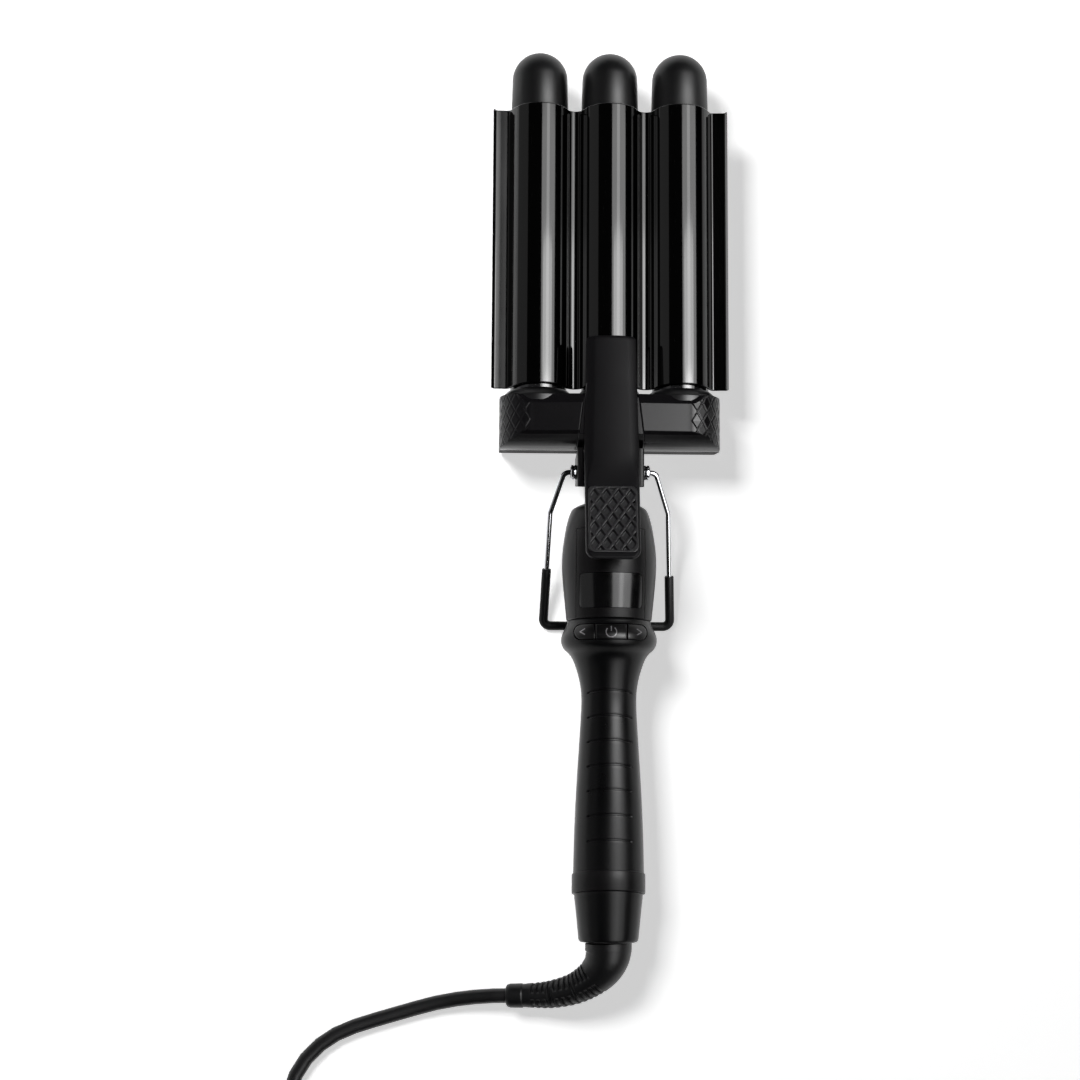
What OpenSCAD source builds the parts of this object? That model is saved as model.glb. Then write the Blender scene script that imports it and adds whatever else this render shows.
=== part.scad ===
// Hair waver: three heated barrels in a crossbar, a corrugated clamp plate on a thumb lever, a turned handle
// with a display and three buttons, a wire rest stand, and a mains cord on a swivel.
// +Y runs from the handle to the barrel tips, +X is to the right seen from above, and +Z is up.
// The origin is on the table, under the middle of the body. All sizes are in millimetres.

/* [Barrels] */
// Outer diameter of a barrel
barrel_d = 25.4; // [24:0.1:27]
// Distance between neighbouring barrel axes
barrel_pitch = 32; // [31:0.5:40]
// Wall of a barrel tube
barrel_wall = 1; // [0.8:0.1:1.6]
// Bare length of a barrel, from its collar to its tip cap
barrel_l = 130; // [90:1:180]
// Length of a barrel held in its collar
barrel_seat_l = 12.5; // [10:0.5:13]
// Height of the barrel axes above the table
axis_h = 23; // [22:0.5:28]

/* [Tip caps] */
// Length of a tip cap
cap_l = 28; // [22:1:40]
// Diameter of a tip cap at its base
cap_d = 26; // [25.5:0.1:27.5]
// Diameter of a tip cap where its dome starts
dome_d = 25.2; // [20:0.1:27]
// Length of the spigot that sits in the barrel
cap_spigot_l = 8; // [5:0.5:14]
// Wall of a tip cap
cap_wall = 2.2; // [1.6:0.1:3]

/* [Heaters] */
// Length of a heater bar
heater_l = 70; // [40:1:100]
// Thickness of a heater bar
heater_t = 2.5; // [2:0.5:6]
// Distance from a barrel's lower end to its heater bar
heater_start = 22; // [16:1:40]

/* [Clamp plate] */
// Thickness of the clamp plate
plate_t = 1; // [0.8:0.1:1.4]
// Gap between the closed plate and the barrels
plate_gap = 1; // [0.4:0.1:1.2]
// Depth of a valley below a ridge, measured on the middle of the sheet
valley_depth = 9.6; // [8:0.1:11]
// Flat flange outside each outer valley
flange_w = 5.2; // [3:0.1:9]
// Gap from the plate to the collars and to the tip caps
plate_end_gap = 0.5; // [0.3:0.1:2]
// Diameter of a plate rivet
rivet_d = 4; // [3:0.5:5]
// Distance between the two plate rivets
rivet_pitch = 9; // [7:0.5:12]
// Length of a rivet in the lever
rivet_l = 5; // [4:0.5:6]

/* [Lever] */
// Width of the lever over the plate
lever_tip_w = 22; // [18:0.5:23]
// Width of the lever over the hinge
lever_w = 24; // [22:0.5:25]
// Length of the lever that lies on the plate
lever_grip_l = 21.2; // [18:0.1:40]
// Height of the lever's flat top above the barrel axes
lever_rise = 22.5; // [21:0.5:26]
// Length of the lever behind the hinge, up to its rear end
thumb_l = 41.8; // [36:0.1:46]
// Slope of the thumb rest
thumb_tilt = 19; // [16:0.5:22]
// Thickness of the lever at its rear end
thumb_t = 4.5; // [4:0.1:5.5]
// Corner radius of the rear end seen from above
thumb_corner_r = 4; // [2:0.5:6]
// Corner radius of the front end seen from above
tip_corner_r = 2.2; // [1:0.1:4]
// Roundness of the lever's long edges
lever_edge_r = 1.6; // [1:0.1:2]
// Crown of the lever's top
lever_crown = 0.8; // [0.2:0.1:1.2]
// Height of the thumb rest's upper edge above the lever's flat top
rest_rise = 4.5; // [3:0.1:6]
// Distance from the hinge axis back to the thumb rest's upper edge
rest_back = 7; // [5:0.5:10]

/* [Thumb pad] */
// Length of the thumb pad
pad_l = 29.2; // [22:0.1:30]
// Width of the thumb pad
pad_w = 20; // [16:0.5:20.5]
// Distance from the lever's rear end to the pad
pad_margin = 2.7; // [2:0.1:4]
// Depth of the pad's pocket
pad_depth = 1.2; // [1:0.1:1.6]
// Corner radius of the pad
pad_corner_r = 2.5; // [1:0.1:4]
// Width of a rib of the pad
pad_rib_w = 1.1; // [0.8:0.1:1.6]
// Width of a diamond between the ribs
diamond_w = 5.3; // [4:0.1:8]
// Length of a diamond between the ribs
diamond_l = 7.8; // [5:0.1:10]

/* [Crossbar] */
// Length of the crossbar along the barrels
bar_h = 24; // [22:0.5:30]
// Distance from an outer barrel's axis to the crossbar's end
bar_side = 17.5; // [17:0.1:22]
// Height of the crossbar's front face above the barrel axes
bar_front = 17.5; // [17:0.1:18]
// Corner radius of the crossbar's ends at the front
bar_front_r = 14.5; // [10:0.5:16]
// Corner radius of the crossbar's ends at the back
bar_back_r = 4; // [2:0.5:8]
// Wall of the crossbar's shells
bar_wall = 2.4; // [2:0.1:3]
// Run of the lower front chamfer along the handle's axis
low_chamfer_y = 6.4; // [4:0.1:8]
// Drop of the lower front chamfer
low_chamfer_z = 7.5; // [4:0.1:8]
// Run of the upper front chamfer along the handle's axis
top_chamfer_y = 4.6; // [2:0.1:6]
// Drop of the upper front chamfer
top_chamfer_z = 5; // [2:0.1:6]
// Size of the chamfers round the back face
back_chamfer = 2; // [1:0.1:3]
// Depth of the recess under the lever
lever_recess = 1.1; // [0.5:0.1:1.3]
// Margin of the recess beside the lever, at the handle's side
recess_margin = 2.9; // [1:0.1:3.5]
// Diameter of a screw boss
boss_d = 7; // [6:0.1:8]
// Distance from the middle to an outer screw, in barrel pitches
outer_screw = 1.38; // [1.36:0.01:1.4]
// Diameter of a screw's shank
screw_d = 3; // [2.5:0.1:3.5]
// Diameter of a screw's head
screw_head_d = 5.4; // [5:0.1:6]
// Height of a screw's head
screw_head_h = 2; // [1.6:0.1:2.4]
// Depth of a screw's head below the back face
screw_sink = 2; // [1:0.1:3]
// Length of the cross recess in a screw's head
drive_l = 3; // [2:0.1:4]
// Width of the cross recess in a screw's head
drive_w = 0.7; // [0.5:0.1:1]

/* [Collars] */
// Height of a collar above the crossbar
collar_l = 3.5; // [2:0.1:6]
// Wall of a collar's ring and sleeve
collar_wall = 1.9; // [1.4:0.1:2.2]
// Overhang of a collar's base flange
collar_flange = 1.2; // [0.8:0.1:1.3]
// Thickness of a collar's base flange
collar_flange_t = 0.8; // [0.6:0.1:1.5]
// Thickness of the stop under the barrel
collar_floor = 1.5; // [1:0.1:3]
// Width of the stop's ring, inside the barrel's bore
collar_stop_w = 3; // [1:0.1:5]

/* [Neck and hinge] */
// Length of the neck block
neck_l = 18; // [17:0.5:24]
// Width of the neck block
neck_w = 29.5; // [28:0.5:33]
// Corner radius of the neck block
neck_corner_r = 2; // [1:0.5:3]
// Gap between the neck block and the housing
neck_gap = 5; // [3:0.5:7]
// Height of the neck block's front face above the barrel axes
neck_front = 15; // [13:0.5:15.5]
// Distance from the barrel axes down to the neck block's back face
neck_back = 17; // [12:0.5:18]
// Diameter of the spigots of the neck block
spigot_d = 19; // [17:0.5:19.5]
// Length of the spigot in the crossbar
bar_spigot_l = 6; // [4:0.5:9]
// Length of the spigot in the housing
housing_spigot_l = 12; // [8:0.5:14]
// Diameter of the wire passage
wire_bore_d = 8.5; // [6:0.5:9]
// Distance from the barrel axes down to the wire passage
wire_bore_drop = 4; // [3:0.5:5]
// Distance from the crossbar back to the hinge axis
hinge_back = 10.2; // [9:0.1:11]
// Height of the hinge axis above the barrel axes
hinge_rise = 8; // [7:0.1:8.5]
// Outer diameter of the hinge tube
hinge_tube_d = 5; // [4:0.1:5.4]
// Bore of the hinge tube
hinge_bore_d = 2.5; // [2:0.1:3]
// Width of the lever's slot in the neck block
slot_w = 24; // [22:0.5:25]
// Width of a hinge ear of the lever
ear_w = 3.2; // [2.5:0.1:4]
// Radius of a hinge ear's end
ear_r = 4.4; // [4:0.1:5]
// Outer diameter of a hinge ferrule
ferrule_d = 6.7; // [6:0.1:8]
// Length of a hinge ferrule
ferrule_l = 2.6; // [1.5:0.1:4]
// Wire of the torsion spring
spring_wire_d = 1.2; // [0.8:0.1:1.4]
// Turns of the torsion spring
spring_turns = 5; // [3:1:6]
// Length of the spring's leg under the lever
spring_leg_l = 4.5; // [3:0.1:5]

/* [Stand] */
// Wire of the rest stand
wire_d = 2.4; // [2:0.1:2.4]
// Distance from the hinge axis back to the crosspiece
stand_l = 65.8; // [60:0.1:66]
// Half width of the stand at its shoulders
stand_shoulder = 20; // [19.5:0.1:24]
// Half width of the stand at its elbows
stand_elbow = 26.7; // [25:0.1:30]
// Half width of the stand at its foot
stand_foot = 28.2; // [26:0.1:32]
// Distance from the hinge axis back to the elbows
elbow_back = 17.1; // [12:0.1:24]
// Bend radius of the wire
wire_bend_r = 3.2; // [3:0.1:3.8]
// Outer diameter of the sleeve on the stand
sleeve_d = 4.1; // [3.6:0.1:4.2]
// Length of the sleeve's straight sides
sleeve_side_l = 26; // [15:0.5:35]

/* [Upper housing] */
// Length of the upper housing
housing_l = 52.6; // [48:0.1:60]
// Widest diameter of the upper housing
bulge_d = 42; // [40:0.1:43]
// Wall of the upper housing
housing_wall = 2.4; // [2:0.1:3]
// Diameter of the joint between upper housing and grip
joint_d = 37.8; // [36:0.1:39]
// Width of the display cover
cover_w = 30; // [24:0.5:32]
// Width of the display window
window_w = 27.3; // [20:0.1:28]
// Length of the display window
window_l = 15; // [10:0.5:18]
// Distance from the window to the grip
window_up = 4.5; // [3:0.1:8]
// Thickness of the display window
window_t = 1.2; // [0.8:0.1:1.4]
// Corner radius of the display window
window_corner_r = 2; // [1:0.5:3]

/* [Boards] */
// Thickness of a circuit board
board_t = 1.6; // [1:0.1:2]
// Length of the control board
board_l = 26; // [15:1:30]
// Height of the control board above the barrel axes
board_rise = 6; // [4:0.5:8]
// Thickness of the display module
lcd_t = 3; // [2:0.1:4]

/* [Grip] */
// Length of the grip, with the part under the band
grip_l = 119.4; // [100:0.1:150]
// Diameter of the grip's head, round the buttons
head_d = 42.5; // [41:0.1:43]
// Diameter of the grip's waist
waist_d = 24.4; // [23:0.1:28]
// Diameter of the grip's rear end
butt_d = 31; // [29:0.1:34]
// Wall of the grip's head
head_wall = 3; // [2.5:0.1:3.4]
// Bore through the grip
grip_bore_d = 10; // [8:0.5:13]
// Number of grooves
groove_count = 7; // [0:1:9]
// Distance between two grooves
groove_pitch = 10.9; // [8:0.1:13]
// Distance from the grip's top to the first groove, on the axis
groove_start = 34.5; // [32:0.1:43]
// Width of a groove
groove_w = 0.9; // [0.6:0.1:1.4]
// Depth of a groove
groove_depth = 0.5; // [0.3:0.1:0.8]
// Half width of a groove seen from the front
groove_half_w = 10; // [7:0.5:11]
// Slant of a groove's plane
groove_tilt = 16; // [0:1:25]

/* [Band and end cap] */
// Diameter of the band
band_d = 32.2; // [31.4:0.1:34]
// Length of the band
band_l = 8.7; // [6:0.1:14]
// Slant of the band, higher at the front
band_tilt = 8; // [0:0.5:10]
// Depth of the band's seat in the grip
band_seat = 1; // [0.6:0.1:1.5]
// Length of the end cap
end_cap_l = 20.5; // [18:0.1:28]
// Diameter of the end cap at the band
end_cap_d = 30; // [29:0.1:32]
// Diameter of the end cap at its end
end_cap_tip_d = 26; // [24.5:0.1:29]
// Length of the end cap's spigot in the grip
end_spigot_l = 9; // [6:0.5:14]
// Diameter of the end cap's spigot
end_spigot_d = 23; // [21:0.1:24]

/* [Buttons] */
// Length of the button slot
slot_l = 32.4; // [28:0.1:33]
// Height of the button slot
slot_h = 7.4; // [6:0.1:8]
// Distance from the grip's top to the middle of the slot
slot_down = 7.3; // [7:0.1:8]
// Gap round a button
button_gap = 0.3; // [0.2:0.05:0.5]
// Width of the power button
power_w = 13.6; // [10:0.1:15]
// Travel of a button
button_travel = 0.8; // [0.4:0.1:1]
// Margin of the lip that keeps a button in
button_lip = 0.8; // [0.6:0.1:1.2]
// Thickness of a button's lip
button_lip_t = 1.2; // [0.8:0.1:2]
// Width of a switch
switch_w = 3; // [2:0.1:3.4]

/* [Swivel] */
// Diameter of the swivel's neck
swivel_d = 15.4; // [13:0.1:17]
// Diameter of the swivel's flange
swivel_flange_d = 19; // [17.5:0.1:19.6]
// Thickness of the swivel's flange
swivel_flange_t = 3; // [2:0.1:4]
// Bore through the swivel
swivel_bore_d = 6.8; // [6.6:0.1:8]
// Length of the end cap's hole round the neck
swivel_hole_l = 9; // [6:0.5:11]
// Diameter of the slip ring
slip_ring_d = 12; // [10:0.1:14]
// Length of the slip ring
slip_ring_l = 6; // [4:0.1:8]

/* [Boot and cord] */
// Widest diameter of the boot
boot_d = 20.5; // [18:0.1:22]
// Diameter of the boot at the cord
boot_tip_d = 9.9; // [9:0.1:11]
// Number of ribs on the boot
boot_ribs = 11; // [6:1:12]
// Depth of the gaps between the ribs
boot_rib_depth = 0.9; // [0.4:0.1:1.2]
// Diameter of the cord
cord_d = 6.4; // [6:0.1:7]
// Radius of the coil's innermost turn
coil_inner_r = 32; // [28:0.5:36]
// Number of turns beside each other in the coil
coil_columns = 3; // [2:1:4]
// Number of turns on each other in the coil
coil_layers = 3; // [2:1:4]
// Width of the cord tie
tie_w = 9; // [6:0.5:14]
// Thickness of the cord tie
tie_t = 0.8; // [0.5:0.1:1.2]

/* [Plug] */
// Length of the plug body
plug_l = 36; // [32:0.5:42]
// Width of the plug body
plug_w = 35.3; // [33:0.1:36]
// Thickness of the plug body
plug_t = 13.7; // [13:0.1:14]
// Width of the plug body at the cord
plug_neck_w = 12; // [11:0.5:16]
// Length of the plug's strain relief
plug_relief_l = 14; // [10:0.5:20]
// Diameter of a pin
pin_d = 4; // [3.94:0.02:4.06]
// Length of a pin
pin_l = 19; // [18.5:0.1:19.5]
// Distance between the pins
pin_pitch = 18.6; // [17.5:0.1:19]
// Length of a pin held in the plug body
pin_hold_l = 7; // [5:0.5:12]
// Length of the chamfer on a pin's tip
pin_chamfer = 1; // [0.5:0.1:2]
// Diameter of the insulating sleeve round a pin's root
pin_root_d = 3.6; // [3.4:0.1:3.6]
// Length of the insulating sleeve
pin_root_l = 10; // [9:0.1:11]
// Diameter of a pin's core, inside its sleeve and in the plug body
pin_core_d = 3; // [2.4:0.1:3.2]

/* [Fits] */
// Clearance between seated pieces
fit = 0.05; // [0.02:0.01:0.1]
// Seam between moulded covers
seam = 0.15; // [0.1:0.05:0.3]
// Running clearance on the radius of a bearing
run_fit = 0.06; // [0.03:0.01:0.1]
// Air between parts that pass each other
air = 0.3; // [0.25:0.05:0.5]

/* [Hidden] */
$fn = 64;

// Places along the handle's axis, from the tips to the handle's end
body_l = cap_l + barrel_l + collar_l + bar_h + neck_l + neck_gap + housing_l + grip_l + end_cap_l;
y_tip = body_l / 2;
y_cap = y_tip - cap_l;
y_collar = y_cap - barrel_l;
y_bar_top = y_collar - collar_l;
y_bar = y_bar_top - bar_h;
y_neck = y_bar - neck_l;
y_housing = y_neck - neck_gap;
y_grip = y_housing - housing_l;
y_butt = y_grip - grip_l;
y_end = y_butt - end_cap_l;
y_band = y_butt + band_l;

// Barrels and their seats
barrel_r = barrel_d / 2;
barrel_bore_r = barrel_r - barrel_wall;
y_barrel = y_collar - barrel_seat_l;
collar_r = barrel_r + collar_wall;
bar_half = barrel_pitch + bar_side;
bar_top_z = axis_h + bar_front;

// Section of the clamp plate, from the radius and height of its ridges and valleys
ridge_in_r = barrel_r + plate_gap;
ridge_out_r = ridge_in_r + plate_t;
ridge_mid_r = ridge_in_r + plate_t / 2;
valley_floor = ridge_mid_r - valley_depth;
half_pitch = barrel_pitch / 2;
valley_r = (pow(half_pitch, 2) + pow(valley_floor, 2) - pow(ridge_mid_r, 2)) / (2 * valley_depth);
valley_z = valley_floor + valley_r;
wave_angle = atan2(half_pitch, valley_z);
y_plate = y_collar + plate_end_gap;
y_plate_tip = y_cap - plate_end_gap;

// Hinge of the lever and the stand
hinge_y = y_bar - hinge_back;
hinge_z = axis_h + hinge_rise;
hinge_half = neck_w / 2 + ferrule_l + air;
hinge_tube_r = hinge_tube_d / 2;
ear_in = slot_w / 2 - air - ear_w;
slot_floor = hinge_z - ear_r - air;

// Lever
lever_top = axis_h + lever_rise;
lever_y_tip = y_plate + lever_grip_l;
lever_y_rear = hinge_y - thumb_l;
rest_y = hinge_y - rest_back;
rest_z = lever_top + rest_rise;
lever_rear_top = rest_z + (rest_y - lever_y_rear) * tan(thumb_tilt);
lever_skirt = axis_h + sqrt(pow(ridge_out_r, 2) - pow(lever_tip_w / 2, 2));
bar_clear = 1;
lever_top_line = [
    [lever_y_rear, lever_rear_top], [rest_y, rest_z], [hinge_y + 5, lever_top + rest_rise * 0.53],
    [y_bar + bar_h * 0.25, lever_top + rest_rise * 0.2], [y_bar_top - 4, lever_top], [lever_y_tip, lever_top]
];
lever_under_line = [
    [lever_y_rear, lever_rear_top - thumb_t], [rest_y - 5, rest_z - thumb_t + 1],
    [y_bar, bar_top_z + bar_clear], [y_plate - 0.2, bar_top_z + bar_clear], [y_plate, lever_skirt],
    [lever_y_tip, lever_skirt]
];
lever_width_line = [
    [lever_y_rear, lever_w / 2 - 0.2], [y_bar, lever_w / 2], [y_bar_top, lever_tip_w / 2 + 0.4],
    [lever_y_tip, lever_tip_w / 2]
];
pad_far = (rest_y - lever_y_rear) / cos(thumb_tilt) - pad_margin;

// Stand, in the plane through the hinge axis and the crosspiece
stand_y = hinge_y - stand_l;
stand_low = sleeve_d / 2;
stand_slope = atan((hinge_z - stand_low) / stand_l);
wire_r = wire_d / 2;

// How far the slanted joint of grip and end cap reaches past its middle
slant_reach = band_d / 2 * tan(band_tilt) + 0.5;

// Outlines of the turned pieces: radius, and distance below the piece's top
housing_outline = [
    [spigot_d / 2 + 0.7, 0], [14.8, 1.8], [17.4, 4.5], [19.7, 13.7], [bulge_d / 2, 28.6],
    [joint_d / 2, housing_l]
];
grip_outline = [
    [joint_d / 2, 0], [head_d / 2, 5.3], [17.4, 12.4], [waist_d / 2 + 0.7, 23], [waist_d / 2, 30.6],
    [waist_d / 2 + 2, 71.8], [butt_d / 2, grip_l - 12.3], [butt_d / 2, grip_l + slant_reach]
];
housing_curve = spline(housing_outline, 6);
grip_curve = spline(grip_outline, 6);
cavity_down = 21;
slot_y = y_grip - slot_down;

// Swivel
swivel_r = swivel_d / 2;
y_shoulder = y_end + swivel_hole_l;
y_flange = y_shoulder + air;
y_flange_top = y_flange + swivel_flange_t;
y_ring_top = y_flange_top + slip_ring_l;

// Boot's middle line, from the swivel to the cord
boot_neck = 0.017;
boot_line = [
    [0, y_end, axis_h], [0, y_end - 3, axis_h], [-0.6, y_end - 7, axis_h], [-3.2, y_end - 12, 22],
    [-8, y_end - 16.6, 20.5], [-15, y_end - 20.6, 18], [-24.5, y_end - 23.2, 14.6],
    [-34, y_end - 24, 11.6], [-43.6, y_end - 24.3, 9.9]
];
boot_path = spline(boot_line, 8);

// Cord's route: out of the boot, down to the table and into the coil
cord_r = cord_d / 2;
cord_line = [
    [-43.7, -224.8, 9.9], [-50, -225, 8.9], [-58, -225.7, 7.2], [-66, -226.8, 5.6], [-75, -228.6, 4.2],
    [-84, -231, 3.4], [-93, -233.6, 3.2], [-102, -236.2, 3.2], [-111, -239, 3.2], [-119, -242.4, 3.2],
    [-126, -247, 3.2], [-132, -253, 3.2], [-136.4, -260, 3.2], [-139, -268, 3.2], [-140, -277, 3.2],
    [-140, -287, 3.2], [-140, -297, 3.2], [-140, -303, 3.2]
];
coil_centre = [-95.2, -320];
coil_turn_r = coil_inner_r + cord_d * (coil_columns - 1);
coil_out_r = coil_turn_r + cord_r;
coil_in_r = coil_inner_r - cord_r;
coil_h = cord_d * coil_layers;
tie_turn = 35;
// Tail: off the coil's top layer, over its outer turns and down into the plug
tail_line = [
    [-95.2, -352, 16.4], [-86, -352, 17.8], [-78, -352, 20.4], [-70, -352, 22.6], [-62, -352, 23],
    [-54, -352, 22.2], [-46, -352, 19.4], [-38, -352, 15.2], [-30, -352, 10.8], [-22, -352, 8],
    [-15, -352, 6.9], [-8, -352, 6.85]
];
plug_x = tail_line[len(tail_line) - 1][0];
plug_y = tail_line[0][1];

// A smooth curve through the points, with n steps in each span
function spline(points, n) = concat(
    [for (i = [0:len(points) - 2], k = [0:n - 1]) spline_point(
        points[max(i - 1, 0)], points[i], points[i + 1], points[min(i + 2, len(points) - 1)], k / n
    )],
    [points[len(points) - 1]]
);
function spline_point(a, b, c, d, t) =
    b + (c - a) * t / 2 + (a * 2 - b * 5 + c * 4 - d) * t * t / 2 + (b * 3 - a - c * 3 + d) * t * t * t / 2;
function unit(v) = v / norm(v);
// Direction of a path at point i
function heading(path, i) = unit(path[min(i + 1, len(path) - 1)] - path[max(i - 1, 0)]);
// Ring of a swept round section, square to its path
function ring(centre, along, up, r, sides) =
    let (side = unit(cross(along, up)), lift = cross(side, along))
    [for (k = [0:sides - 1]) centre + (side * cos(360 * k / sides) + lift * sin(360 * k / sides)) * r];
function turned_r(curve, down) = lookup(down, [for (p = curve) [p[1], p[0]]]);

// A closed skin over a row of rings that all have the same number of points
module loft(rings) {
    n = len(rings[0]);
    last = len(rings) - 1;
    points = [for (r = rings, p = r) p];
    sides = [
        for (i = [0:last - 1], k = [0:n - 1])
        let (a = i * n + k, b = i * n + (k + 1) % n)
        each [[a, b + n, b], [a, a + n, b + n]]
    ];
    polyhedron(points, concat([[for (k = [0:n - 1]) k]], sides, [[for (k = [0:n - 1]) last * n + n - 1 - k]]));
}

module sweep(path, radii, up, sides) {
    loft([for (i = [0:len(path) - 1]) ring(path[i], heading(path, i), up, radii[i], sides)]);
}

// A round bar along the handle's axis
module bar_y(r, from, to) {
    translate([0, from, 0])
    rotate([-90, 0, 0])
    cylinder(r = r, h = to - from);
}

// A round bar along X
module bar_x(r, from, to) {
    translate([from, 0, 0])
    rotate([0, 90, 0])
    cylinder(r = r, h = to - from);
}

// A flat outline drawn in X and Z, as long as the stretch along Y
module extrude_y(from, to) {
    translate([0, to, 0])
    rotate([90, 0, 0])
    linear_extrude(to - from)
    children();
}

// A flat outline drawn in Y and Z, as long as the stretch along X
module extrude_x(from, to) {
    translate([from, 0, 0])
    rotate([90, 0, 90])
    linear_extrude(to - from)
    children();
}

// A piece turned round the handle's axis: its outline goes down from y_top and is set in by inset
module turned(curve, y_top, inset) {
    bottom = curve[len(curve) - 1][1];
    translate([0, y_top, axis_h])
    rotate([-90, 0, 0])
    rotate_extrude()
    polygon(concat(
        [[0, -bottom], [0, -curve[0][1]]],
        [for (p = curve) [max(p[0] - inset, 0.01), -p[1]]]
    ));
}

module block(low, high) {
    translate(low)
    cube(high - low);
}

module rounded_rect(w, l, r) {
    square([w - 2 * r, l], center = true);
    square([w, l - 2 * r], center = true);
    for (x = [-1, 1], y = [-1, 1])
        translate([x * (w / 2 - r), y * (l / 2 - r)])
        circle(r);
}

// Barrels: three tubes, each with a heater bar wedged across its bore
module barrel(i) {
    color("dimgray")
    translate([i * barrel_pitch, 0, axis_h])
    difference() {
        bar_y(barrel_r, y_barrel, y_cap);
        bar_y(barrel_bore_r, y_barrel - 1, y_cap + 1);
    }
}

module heater(i) {
    y_low = y_barrel + heater_start;
    color("lightgray")
    translate([i * barrel_pitch, 0, axis_h])
    intersection() {
        bar_y(barrel_bore_r - fit, y_low, y_low + heater_l);
        block([-barrel_r, y_low - 1, -heater_t / 2], [barrel_r, y_low + heater_l + 1, heater_t / 2]);
    }
}

module tip_cap(i) {
    dome_r = dome_d / 2;
    straight_l = cap_l - dome_r;
    spigot_r = barrel_bore_r - fit;
    color("#222224")
    translate([i * barrel_pitch, y_cap, axis_h])
    rotate([-90, 0, 0])
    rotate_extrude()
    difference() {
        union() {
            polygon([[0, 0], [cap_d / 2, 0], [dome_r, straight_l], [0, straight_l]]);
            translate([0, straight_l])
            intersection() {
                circle(dome_r);
                square(dome_r);
            }
            translate([0, -cap_spigot_l])
            square([spigot_r, cap_spigot_l + 1]);
        }
        translate([0, -cap_spigot_l - 1])
        square([spigot_r - cap_wall, cap_spigot_l + 1 + straight_l]);
        translate([0, straight_l])
        intersection() {
            circle(spigot_r - cap_wall);
            square(spigot_r);
        }
    }
}

// Collars: a ring on the crossbar, a sleeve inside it and a stop for the barrel's end
module collar(i) {
    flange_r = collar_r + collar_flange;
    y_floor = y_barrel - collar_floor;
    color("#1c1c1e")
    translate([i * barrel_pitch, 0, axis_h])
    difference() {
        union() {
            bar_y(collar_r, y_floor, y_collar);
            bar_y(flange_r, y_bar_top, y_bar_top + collar_flange_t);
            if (i != 0)
                intersection() {
                    translate([0, y_bar_top, 0])
                    rotate([-90, 0, 0])
                    cylinder(r1 = bar_side - 0.2, r2 = collar_r, h = collar_l);
                    block([min(i, 0) * bar_side, y_bar_top, -bar_side], [max(i, 0) * bar_side, y_collar, bar_side]);
                }
        }
        bar_y(barrel_r + fit, y_barrel, y_collar + 1);
        bar_y(barrel_bore_r - collar_stop_w, y_floor - 1, y_collar);
    }
}

// Crossbar: the outline seen along the barrels, cut by the outline seen from its end
module bar_plan(inset) {
    half = bar_half - inset;
    top = bar_top_z - inset;
    front_r = bar_front_r - inset;
    back_r = max(bar_back_r - inset, 0.5);
    translate([-half, inset + back_r])
    square([2 * half, top - front_r - inset - back_r]);
    translate([-half + front_r, inset])
    square([2 * (half - front_r), top - inset]);
    translate([-half + back_r, inset])
    square([2 * (half - back_r), back_r]);
    for (x = [-1, 1]) {
        translate([x * (half - front_r), top - front_r])
        circle(front_r);
        translate([x * (half - back_r), inset + back_r])
        circle(back_r);
    }
}

module bar_side_view(inset) {
    low = y_bar + inset;
    high = y_bar_top - inset;
    top = bar_top_z - inset;
    polygon([
        [low + back_chamfer, inset], [high - back_chamfer, inset], [high, inset + back_chamfer],
        [high, top - top_chamfer_z], [high - top_chamfer_y, top], [low + low_chamfer_y, top],
        [low, top - low_chamfer_z], [low, inset + back_chamfer]
    ]);
}

module bar_form(inset) {
    intersection() {
        extrude_y(y_bar - 1, y_bar_top + 1) bar_plan(inset);
        extrude_x(-bar_half - 1, bar_half + 1) bar_side_view(inset);
    }
}

module screw_places() {
    boss_y = y_bar + bar_wall + boss_d / 2 + 0.6;
    for (x = [-outer_screw, -0.5, 0.5, outer_screw])
        translate([x * barrel_pitch, boss_y, 0])
        children();
}

module crossbar_shell() {
    difference() {
        union() {
            difference() {
                bar_form(0);
                bar_form(bar_wall);
            }
            intersection() {
                bar_form(bar_wall / 2);
                screw_places() cylinder(d = boss_d, h = bar_top_z);
            }
        }
        for (i = [-1:1])
            translate([i * barrel_pitch, 0, axis_h])
            bar_y(collar_r + fit, y_barrel - collar_floor - fit, y_bar_top + 1);
        translate([0, 0, axis_h])
        bar_y(spigot_d / 2 + fit, y_bar - 1, y_bar + bar_spigot_l + 1);
        screw_places() {
            cylinder(d = screw_d + 2 * fit, h = bar_top_z - bar_wall - 2);
            translate([0, 0, -1])
            cylinder(d = screw_head_d + 2 * fit, h = screw_sink + screw_head_h + 1);
        }
    }
}

module crossbar_front() {
    recess_z = bar_top_z - lever_recess;
    wide = lever_w / 2 + recess_margin;
    color("#252527")
    difference() {
        intersection() {
            crossbar_shell();
            block([-bar_half - 1, y_bar - 1, axis_h + fit], [bar_half + 1, y_bar_top + 1, bar_top_z + 1]);
        }
        translate([0, 0, recess_z])
        linear_extrude(lever_recess + 1)
        polygon([
            [-wide, y_bar - 1], [wide, y_bar - 1], [lever_w / 2, y_bar_top + 1], [-lever_w / 2, y_bar_top + 1]
        ]);
    }
}

module crossbar_back() {
    color("#1f1f21")
    intersection() {
        crossbar_shell();
        block([-bar_half - 1, y_bar - 1, -1], [bar_half + 1, y_bar_top + 1, axis_h - fit]);
    }
}

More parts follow.
